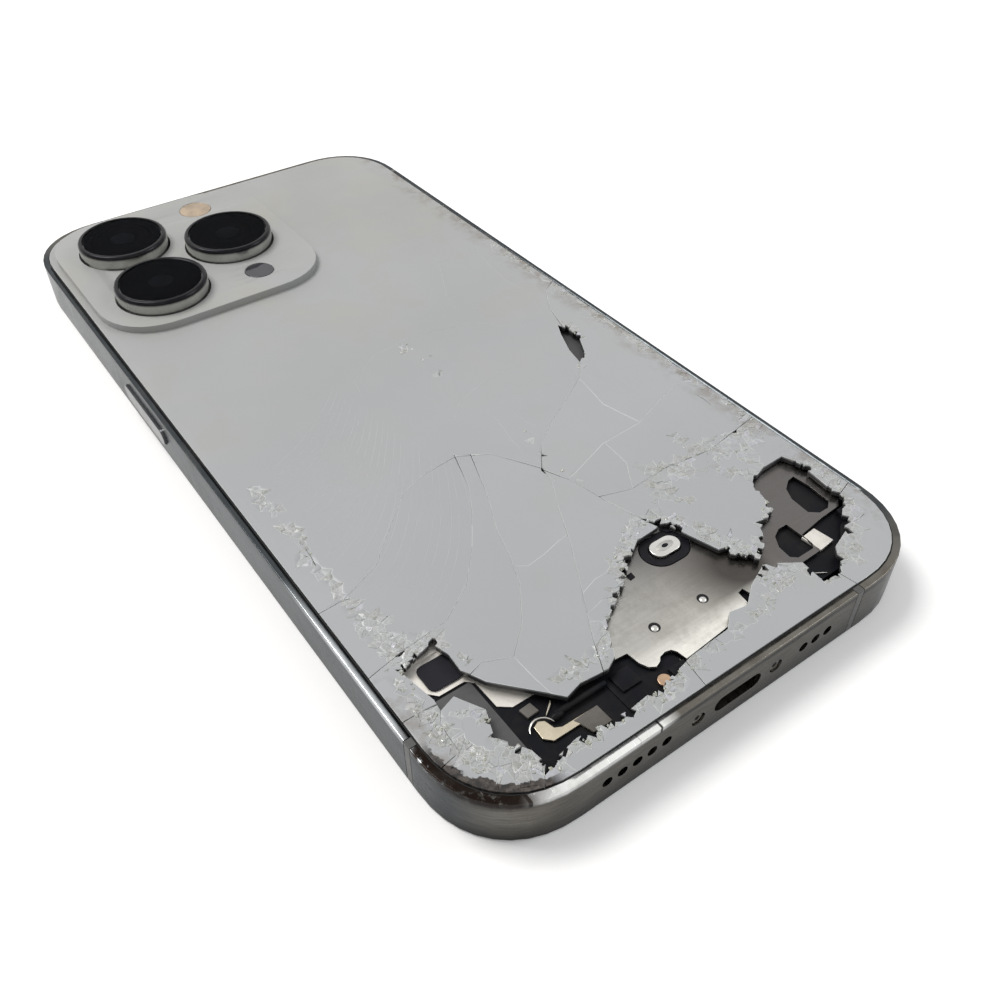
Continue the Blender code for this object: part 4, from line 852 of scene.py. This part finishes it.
# Blows and broken edges where the glass is crushed: the line, how far the crushing spreads from it, the
# fragments for each millimetre, and the loose crumbs for each millimetre
CRUSHED = (
    (((-31.6, -12.0), (-31.2, -24.0), (-31.0, -38.0), (-30.6, -48.0)), 0.9, 3.6, 0.3),
    (((-31.5, -42.0), (-29.0, -46.0), (-26.5, -48.5)), 1.7, 7.0, 0.4),
    (((-31.5, -50.5), (-32.5, -57.0), (-31.6, -63.0), (-28.5, -68.5), (-24.0, -71.0)), 0.8, 6.0, 3.0),
    (((-29.5, -58.8), (-27.0, -61.0), (-27.4, -64.0), (-26.0, -68.5)), 0.5, 4.0, 2.5),
    (((-31.0, -50.5), (-26.4, -48.8), (-24.6, -53.0), (-24.0, -55.6)), 0.6, 4.0, 0.8),
    (((-18.5, -62.8), (-14.5, -62.2), (-10.5, -62.4), (-8.4, -60.0)), 0.7, 5.0, 2.0),
    (((-8.0, -60.5), (-4.0, -57.0), (-1.0, -54.5), (1.5, -51.6)), 0.8, 5.0, 2.5),
    (((0.5, -52.0), (4.5, -49.6), (9.0, -49.2), (11.5, -53.6)), 1.0, 5.5, 2.0),
    (((12.0, -54.5), (13.8, -59.8), (11.5, -63.4), (14.0, -66.5)), 1.0, 5.5, 4.0),
    (((14.0, -63.0), (18.0, -60.8), (22.5, -57.5), (25.5, -52.0)), 1.2, 5.0, 2.5),
    (((12.0, -47.0), (18.0, -44.0), (25.0, -45.0), (32.0, -45.0)), 3.2, 11.0, 1.6),
    (((33.8, -50.0), (33.9, -35.0), (33.9, -15.0), (33.8, 5.0), (33.9, 22.0)), 0.6, 2.6, 0.5),
    (((32.8, -52.0), (32.4, -60.0), (30.4, -64.6), (26.5, -67.2), (22.0, -70.2)), 0.8, 4.0, 1.5),
    (((13.0, -67.5), (18.0, -66.6), (18.6, -70.6)), 0.8, 4.0, 2.0),
    (((-25.0, -70.6), (-20.0, -70.2), (-14.0, -70.6), (-8.0, -70.4), (-3.0, -69.8)), 0.6, 4.5, 3.0),
    (((-3.0, -70.0), (3.0, -69.4), (9.0, -68.6), (14.0, -67.0)), 0.6, 2.6, 1.4),
    (((27.4, -5.0), (28.4, -8.6), (27.0, -12.6), (22.0, -18.0)), 0.7, 2.6, 0.6),
    (((3.0, 3.6), (3.6, -4.0), (1.6, -5.0), (4.4, -7.4)), 0.9, 2.0, 0.4),
    (((7.0, -24.0), (5.0, -30.0), (3.0, -33.2), (6.0, -38.0)), 1.0, 2.0, 0.4),
)


def along(line, spread, count):
    """Points scattered about a line."""
    corners = [Vector(point) for point in line]
    lengths = [(b - a).length for a, b in zip(corners, corners[1:])]
    for _ in range(int(sum(lengths) * count)):
        number = SEEDS.choices(range(len(lengths)), lengths)[0]
        point = corners[number].lerp(corners[number + 1], SEEDS.random())
        yield point + Vector((SEEDS.gauss(0, spread), SEEDS.gauss(0, spread)))


def middle_of(a, b, c):
    """The point as far from each of three points, or None where they lie nearly in line."""
    d = 2 * (a.x * (b.y - c.y) + b.x * (c.y - a.y) + c.x * (a.y - b.y))
    if abs(d) < FLAT_TRIANGLE:
        return None
    sizes = [point.length_squared for point in (a, b, c)]
    x = (sizes[0] * (b.y - c.y) + sizes[1] * (c.y - a.y) + sizes[2] * (a.y - b.y)) / d
    y = (sizes[0] * (c.x - b.x) + sizes[1] * (a.x - c.x) + sizes[2] * (b.x - a.x)) / d
    return Vector((x, y))


def fragment_borders(seeds):
    """The lines halfway between each seed and its near neighbours."""
    points, _, triangles, *_ = delaunay_2d_cdt(seeds, [], [], 0, NET_GAP, True)
    sides = {}
    for triangle in triangles:
        centre = middle_of(*(points[corner] for corner in triangle))
        for start, end in zip(triangle, triangle[1:] + triangle[:1]):
            sides.setdefault((min(start, end), max(start, end)), []).append(centre)
    for (start, end), centres in sides.items():
        if len(centres) == 2 and None not in centres:
            a, b = centres
            seed = points[start]
            reach = max((seed - points[end]).length, (seed - a).length, (seed - b).length)
            if max(reach, (a - b).length) < FRAGMENT_REACH:
                yield (a, b)


def top_edges(node_name):
    """The edges of a node's flat top, in plan and in millimetres, moved out to narrow the cracks."""
    shape = merged_copy(node_name)
    others = []
    for face in shape.faces:
        if face.normal.z < FLAT or abs(face.calc_center_median().z - GLASS_TOP) > TOP_GAP:
            others.append(face)
    bmesh.ops.delete(shape, geom=others, context="FACES")
    border = [e for e in shape.edges if e.is_boundary]
    outward = {}
    for edge in border:
        a, b = (v.co for v in edge.verts)
        across = (b - a).cross(Vector((0, 0, 1))).normalized()
        if across.dot(edge.link_faces[0].calc_center_median() - a) > 0:
            across.negate()
        for corner in edge.verts:
            outward[corner] = outward.get(corner, Vector()) + across
    moved = {v: (v.co / MM + out.normalized() * CRACK_CLOSING).to_2d() for v, out in outward.items()}
    lines = [tuple(moved[v] for v in edge.verts) for edge in border]
    shape.free()
    return lines


GLASS_OUTLINES = {name: top_edges(name) for name, slot in SLOT_OF.items() if slot == "silver_glass"}


def inside(lines, points):
    """Whether each point lies within the closed lines."""
    ends = np.array([[*a, *b] for a, b in lines])
    x1, y1, x2, y2 = (column[None, :] for column in ends.T)
    x, y = points[:, :1], points[:, 1:]
    height = np.where(y2 == y1, 1e-12, y2 - y1)
    crossed = ((y1 > y) != (y2 > y)) & (x < (x2 - x1) * (y - y1) / height + x1)
    return crossed.sum(axis=1) % 2 == 1


def on_glass(points):
    """Whether each point lies on a piece of the glass."""
    return np.any([inside(outline, points) for outline in GLASS_OUTLINES.values()], axis=0)


def make_break_net():
    """All breaks as one flat net: its points, triangles and the pairs of points that a break joins.

    No mesh operator cuts a sheet along crossing lines, so the net is triangulated in plan.
    """
    lines = [line for outline in GLASS_OUTLINES.values() for line in outline]
    for crack in FINE_CRACKS:
        points = [Vector(point) for point in crack]
        lines += list(zip(points, points[1:]))
    seeds = [point for line, spread, count, _ in CRUSHED for point in along(line, spread, count)]
    lines += list(fragment_borders(seeds))
    points = [point for line in lines for point in line]
    pairs = [(2 * number, 2 * number + 1) for number in range(len(lines))]
    points, edges, triangles, _, sources, _ = delaunay_2d_cdt(points, pairs, [], 0, NET_GAP, True)
    breaks = {frozenset(edge) for edge, source in zip(edges, sources) if source}
    return points, triangles, breaks


def regions_of(shape, is_break):
    """Groups of faces that no break parts."""
    seen, groups = set(), []
    for first in shape.faces:
        if first in seen:
            continue
        seen.add(first)
        group = [first]
        for face in group:
            for edge in face.edges:
                if not is_break(edge):
                    for beyond in edge.link_faces:
                        if beyond not in seen:
                            seen.add(beyond)
                            group.append(beyond)
        groups.append(group)
    return groups


def drop_chips(shape, groups):
    """Takes out some of the small fragments at the holes, whose edges turn jagged, and gives the rest."""
    kept = []
    for group in groups:
        area = sum(face.calc_area() for face in group) / MM**2
        loose = False
        if area < CHIP_AREA and SEEDS.random() < CHIP_SHARE:
            spots = []
            for edge in {e for face in group for e in face.edges if e.is_boundary}:
                middle = (edge.verts[0].co + edge.verts[1].co) / 2
                away = middle - edge.link_faces[0].calc_center_median()
                x, y, _ = middle + away.normalized() * CHIP_PROBE
                if abs(x) < HOLE_X and abs(y) < HOLE_Y:
                    spots.append((x / MM, y / MM))
            loose = bool(spots) and not on_glass(np.array(spots)).all()
        if loose:
            bmesh.ops.delete(shape, geom=group, context="FACES")
        else:
            kept.append(group)
    return kept


def shatter(points, triangles, breaks):
    """A sheet of the given triangles, grooved along its breaks, with each fragment a little askew."""
    shape = bmesh.new()
    corners, number_of = {}, {}
    for triangle in triangles:
        for number in triangle:
            if number not in corners:
                corners[number] = shape.verts.new((*(points[number] * MM), GLASS_TOP))
                number_of[corners[number]] = number
        shape.faces.new([corners[number] for number in triangle])
    shape.normal_update()
    crushed = shape.faces.layers.float.new("crushed")
    tone = shape.faces.layers.float.new("tone")
    rim = shape.faces.layers.float.new("rim")

    def is_break(edge):
        return edge.is_boundary or frozenset(number_of[v] for v in edge.verts) in breaks

    groups = drop_chips(shape, regions_of(shape, is_break))
    for group in groups:
        size = math.sqrt(sum(face.calc_area() for face in group)) / MM
        whiteness = min(max((WHITE_UNDER - size) / WHITE_FADE, 0.0), 1.0) * SEEDS.uniform(LEAST_WHITE, 1.0)
        shade = SEEDS.random()
        for face in group:
            face[crushed] = whiteness
            face[tone] = shade
    tops = set(shape.faces)
    slopes = []
    for group in groups:
        groove = bmesh.ops.inset_region(
            shape, faces=group, thickness=FINE_CRACK, use_boundary=True, use_even_offset=False,
        )
        slopes += groove["faces"]
    for face in slopes:
        face[rim] = 1.0
    for corner in shape.verts:
        if not any(face in tops for face in corner.link_faces):
            corner.co.z -= CRACK_DEPTH
    for group in groups:
        area = sum(face.calc_area() for face in group)
        size = math.sqrt(area) / MM
        centre = sum((face.calc_center_median() * face.calc_area() for face in group), Vector()) / area
        tilt = math.radians(min(TILT / size, MOST_TILT)) if size < SMALL_FRAGMENT else 0.0
        slope = Vector((SEEDS.gauss(0, tilt), SEEDS.gauss(0, tilt), 0.0))
        lift = SEEDS.gauss(0, LIFT) if size < SMALL_FRAGMENT else 0.0
        for corner in dict.fromkeys(v for face in group for v in face.verts):
            corner.co.z += slope.dot(corner.co - centre) + lift
    return shape, rim


def close_sheet(shape, border, rim=None):
    """Gives an open sheet sides, from its border down, and its underside. The rim marks the sides."""
    sides = bmesh.ops.extrude_edge_only(shape, edges=border)
    set_height(sides, GLASS_LOW)
    if rim:
        for item in sides["geom"]:
            if isinstance(item, bmesh.types.BMFace):
                item[rim] = -1.0
    under = [e for e in shape.edges if e.is_boundary]
    bmesh.ops.triangle_fill(shape, edges=under, use_beauty=False, use_dissolve=False)
    bmesh.ops.recalc_face_normals(shape, faces=shape.faces)


def add_plateau(shape):
    """The camera plateau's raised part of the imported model's sheet, closed below."""
    block = merged_copy("back_glass_main")
    raised = [v.co for v in block.verts if v.co.z > GLASS_TOP + CLEAR]
    left, right = min(p.x for p in raised) - PLATEAU_MARGIN, max(p.x for p in raised) + PLATEAU_MARGIN
    near, far = min(p.y for p in raised) - PLATEAU_MARGIN, max(p.y for p in raised) + PLATEAU_MARGIN
    others = []
    for face in block.faces:
        within = all(left < v.co.x < right and near < v.co.y < far for v in face.verts)
        flat = abs(face.normal.z) > FLAT and face.calc_center_median().z < GLASS_TOP + TOP_GAP / 2
        if not within or flat:
            others.append(face)
    bmesh.ops.delete(block, geom=others, context="FACES")
    border = [e for e in block.edges if e.is_boundary]
    close_sheet(block, [e for e in border if min(v.co.z for v in e.verts) > GLASS_LOW + CLEAR])
    joined = bpy.data.meshes.new("plateau")
    block.to_mesh(joined)
    block.free()
    shape.from_mesh(joined)
    bpy.data.meshes.remove(joined)


# The colours of the film, the crushed fragments, the broken sides and the dirt, and where each zone lies
NEAR_FILM = (0.355, 0.366, 0.378)
FAR_FILM = (0.312, 0.314, 0.304)
CLOUD_FILM = (0.405, 0.415, 0.426)
SMEAR_FILM = (0.36, 0.34, 0.27)
DARKER_FILM = (0.27, 0.28, 0.30)
CRUSHED_WHITE = (0.40, 0.41, 0.39)
CRUSHED_STAIN = (0.31, 0.30, 0.22)
DULL_FACET = (0.235, 0.230, 0.200)
LILAC_FACET = (0.42, 0.41, 0.50)
CRAZED_WHITE = (0.72, 0.73, 0.72)
# The crack slopes' pale colour: paler broken glass and partly a painted highlight
PALE_SLOPE_AND_HIGHLIGHT = (0.62, 0.64, 0.63)
BORDER_DIRT = (0.14, 0.10, 0.065)
# The near-black colour and grey patches of the glass beyond its torn edge at the near corner
TORN_BLACK = (0.008, 0.006, 0.005)
TORN_GREY = (0.085, 0.070, 0.060)
# The broken sides' dark colour is painted shade, like a shadowed gap
BROKEN_SIDE_SHADE = (0.035, 0.035, 0.036)
FAR_ZONE = (("Y", -30.0, 50.0),)
RIGHT_BORDER = (("X", 30.5, 34.5),)
LEFT_BORDER = (("X", -31.5, -34.5), ("Y", -49.0, -52.0))
SIDE_SHADE_ZONE = (("Z", GLASS_TOP / MM - 0.16, GLASS_TOP / MM - 0.36),)
TORN_ZONE = (("X", -24.0, -26.0), ("Y", -60.0, -62.0))
TORN_MIDDLE = (-0.0227, -0.0607, 0.0)
TORN_RADIUS = (0.01060, 0.01075)
TORN_RAGGED = 0.0010


def make_shattered_glass():
    """Silver-grey film under satin glass, paler and glassy where it is crushed, with dirt at its edges,
    crack slopes paler partly as a painted highlight and broken sides darkened as painted shade.
    """
    material, tree, shader = new_material("shattered_silver_glass")
    marks = [node(tree, "ShaderNodeAttribute", attribute_name=name) for name in ("crushed", "tone", "rim")]
    crushed, tone, rim = (mark.outputs["Fac"] for mark in marks)
    far = zone(tree, FAR_ZONE)
    film = blend(tree, far, NEAR_FILM, FAR_FILM)
    film = blend(tree, blotches(tree, 0.35, 0.65, 38.0), film, CLOUD_FILM, 0.3)
    smear = blotches(tree, 0.5, 0.72, 85.0, 5.0)
    film = blend(tree, times(tree, smear, between(tree, far, 0.0, 1.0, 0.1, 0.4)), film, SMEAR_FILM)
    film = blend(tree, tone, film, DARKER_FILM, 0.15)
    stains = blotches(tree, 0.5, 0.7, 420.0, 4.0)
    colour = blend(tree, crushed, film, blend(tree, stains, CRUSHED_WHITE, CRUSHED_STAIN, 0.5), 0.5)
    dull = times(tree, between(tree, tone, 0.55, 0.15), crushed)
    colour = blend(tree, dull, colour, DULL_FACET, 0.7)
    lilac = times(tree, between(tree, tone, 0.86, 0.92), crushed)
    colour = blend(tree, lilac, colour, LILAC_FACET, 0.6)
    grain = {"Vector": place_of(tree), "Scale": 1500.0}
    specks = node(tree, "ShaderNodeTexVoronoi", grain, feature="DISTANCE_TO_EDGE").outputs["Distance"]
    crazed = times(tree, between(tree, specks, 0.12, 0.02), crushed)
    colour = blend(tree, crazed, colour, CRAZED_WHITE, 0.35)
    # The crack slopes are paler, partly as broken glass and partly as a painted highlight, less on crushed
    # fragments
    slope = times(tree, between(tree, rim, 0.0, 1.0), between(tree, crushed, 0.0, 1.0, 0.65, 0.30))
    colour = blend(tree, slope, colour, PALE_SLOPE_AND_HIGHLIGHT)
    dirty = blotches(tree, 0.45, 0.62, 260.0, 6.0, 0.7)
    borders = sums(tree, "MAXIMUM", zone(tree, RIGHT_BORDER), zone(tree, LEFT_BORDER))
    colour = blend(tree, times(tree, borders, dirty), colour, BORDER_DIRT, 0.6)
    # Beyond a ragged arc at the near corner the glass turns near-black with grey patches
    ragged = between(tree, noise(tree, 700.0), 0.3, 0.7, 0.0, TORN_RAGGED)
    radius = sums(tree, "SUBTRACT", distance_from(tree, TORN_MIDDLE, (1.0, 1.0, 0.0)), ragged)
    torn = times(tree, between(tree, radius, *TORN_RADIUS), zone(tree, TORN_ZONE))
    torn_patches = blotches(tree, 0.42, 0.66, 1300.0, 4.0, 0.7)
    colour = blend(tree, torn, colour, blend(tree, torn_patches, TORN_BLACK, TORN_GREY))
    # Painted shade on the broken sides, deeper lower down
    low = between(tree, zone(tree, SIDE_SHADE_ZONE), 0.0, 1.0, 0.25, 1.0)
    colour = blend(tree, times(tree, between(tree, rim, 0.0, -1.0), low), colour, BROKEN_SIDE_SHADE)
    rough = between(tree, crushed, 0.0, 1.0, 0.42, 0.16)
    grit = {"Height": specks, "Distance": 0.00012, "Strength": times(tree, crushed, 0.8)}
    relief = node(tree, "ShaderNodeBump", grit).outputs[0]
    set_shader(tree, shader, Base_Color=colour, Roughness=rough, Normal=relief)
    set_shader(tree, shader, Specular_IOR_Level=0.35, Coat_Weight=0.12, Coat_Roughness=0.25)
    return material


SHATTERED_GLASS = make_shattered_glass()


def make_back_glass():
    points, triangles, breaks = make_break_net()
    places = np.array([[*point] for point in points])
    centres = places[np.array(triangles)].mean(axis=1)
    for name, outline in GLASS_OUTLINES.items():
        mine = [triangles[number] for number in np.nonzero(inside(outline, centres))[0]]
        shape, rim = shatter(points, mine, breaks)
        close_sheet(shape, [e for e in shape.edges if e.is_boundary], rim)
        if name == "back_glass_main":
            add_plateau(shape)
        stand_in(shape, SHATTERED_GLASS, name, 40.0)


make_back_glass()

# Hairline cracks
# Cracks that stop inside a shard, and the faint arcs, one inside the next, in which the break spread
# from the middle to the left edge. Each is a fine ridge in the glass that thins out at its ends.
HAIRLINE_RADIUS = 0.032
# The hairlines are paler than the film, partly as broken glass and partly as a painted highlight
HAIRLINE_GREY_AND_HIGHLIGHT = (0.52, 0.535, 0.54)
ARC_STEPS = 14
# Curves that bound two fans of arcs, each by four Bezier corners, and the arcs in each fan
ARC_GUIDES = (
    ((-5.7, -24.2), (-9.0, -34.0), (-15.0, -45.0), (-24.2, -48.2)),
    ((-7.5, -13.9), (-15.5, -27.0), (-22.0, -36.0), (-30.4, -38.2)),
    ((-10.3, 3.4), (-15.0, -2.5), (-23.0, -8.5), (-31.8, -10.3)),
)
ARC_COUNTS = (7, 15)
DARK_CRACKS = (
    ((-30.8, -26.6), (-31.0, -29.5), (-31.5, -33.1)),
    ((31.7, -33.0), (31.9, -35.0), (31.7, -37.5)),
)
HAIRLINES = (
    ((4.0, -16.0), (4.0, -21.0), (3.0, -26.0), (2.6, -31.5)),
    ((7.0, -18.0), (7.2, -24.0), (8.0, -27.0)),
    ((-31.4, -11.0), (-31.1, -18.0), (-31.4, -26.0), (-30.9, -33.0), (-31.2, -36.5)),
    ((26.0, -5.4), (22.0, -2.0), (15.0, 2.5), (6.0, 5.0), (-2.0, 4.0), (-8.0, 0.0), (-10.0, -8.0)),
    ((23.5, -14.6), (17.0, -12.0), (9.0, -11.5), (2.0, -14.0), (-4.0, -20.0)),
    ((29.5, 2.0), (28.0, 10.0), (29.5, 20.0), (33.0, 27.0)),
    ((15.0, 2.6), (17.0, 12.0), (22.0, 22.0), (29.0, 21.0)),
)


def growth_arcs():
    for first, last, count in zip(ARC_GUIDES, ARC_GUIDES[1:], ARC_COUNTS):
        for number in range(count):
            way = (number + SEEDS.uniform(-0.3, 0.3)) / count
            corners = [Vector(a).lerp(Vector(b), way) for a, b in zip(first, last)]
            yield interpolate_bezier(*corners, ARC_STEPS + 1)


def make_hairlines():
    height = GLASS_TOP / MM - HAIRLINE_RADIUS / 2
    fine = [[(x, y, height) for x, y in line] for line in (*HAIRLINES, *growth_arcs())]
    glint = hard_finish("hairline_glass", HAIRLINE_GREY_AND_HIGHLIGHT, 0.0, 0.3, 0.1, 0.1)
    trim("hairline_cracks", rods(fine, HAIRLINE_RADIUS, 0), glint, "silver_glass", 30.0)
    deep = [[(x, y, height) for x, y in line] for line in DARK_CRACKS]
    trim("dark_cracks", rods(deep, 1.6 * HAIRLINE_RADIUS, 0), MODULE_BLACK, "silver_glass")


make_hairlines()

# Crumbs of glass
# Loose grains of crushed glass that cling to the broken edges and lie in the cracks.
CRUMB_SIZES = (0.12, 0.40)
CRUMB_SINK = 0.1 * MM
CRUMB_SPREAD = 0.7
CRUMB_MILK = (0.66, 0.69, 0.68)
CRUMB_STAIN = (0.58, 0.58, 0.47)


def make_crumb_glass():
    material, tree, shader = new_material("crushed_glass_crumbs")
    milky = blotches(tree, 0.35, 0.65, 900.0)
    colour = blend(tree, milky, CRUMB_MILK, CRUMB_STAIN)
    rough = between(tree, milky, 0.0, 1.0, 0.05, 0.35)
    set_shader(tree, shader, Base_Color=colour, Roughness=rough, Transmission_Weight=0.45, IOR=1.5)
    return material


def make_crumbs():
    shape = bmesh.new()
    for line, spread, _, count in CRUSHED:
        places = list(along(line, spread * CRUMB_SPREAD, count))
        for point, held in zip(places, on_glass(np.array([[*point] for point in places]))):
            size = SEEDS.uniform(*CRUMB_SIZES) * MM
            turn = (SEEDS.uniform(0, math.tau), SEEDS.random(), SEEDS.random(), SEEDS.uniform(0.5, 1.0))
            if not held:
                continue
            grain = bmesh.ops.create_icosphere(shape, subdivisions=1, radius=size)["verts"]
            for corner in grain:
                corner.co *= SEEDS.uniform(0.6, 1.15)
            spin = Matrix.Rotation(turn[0], 4, Vector((turn[1], 0.4, turn[2])))
            squash = Matrix.Diagonal((1.0, turn[3], 0.7, 1.0))
            place = Matrix.Translation((point.x * MM, point.y * MM, GLASS_TOP - CRUMB_SINK))
            bmesh.ops.transform(shape, matrix=place @ spin @ squash, verts=grain)
    trim("glass_crumbs", shape, make_crumb_glass(), "silver_glass", 5.0)


make_crumbs()

[[list(corner) for corner in box] for box in (cad_box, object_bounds())]
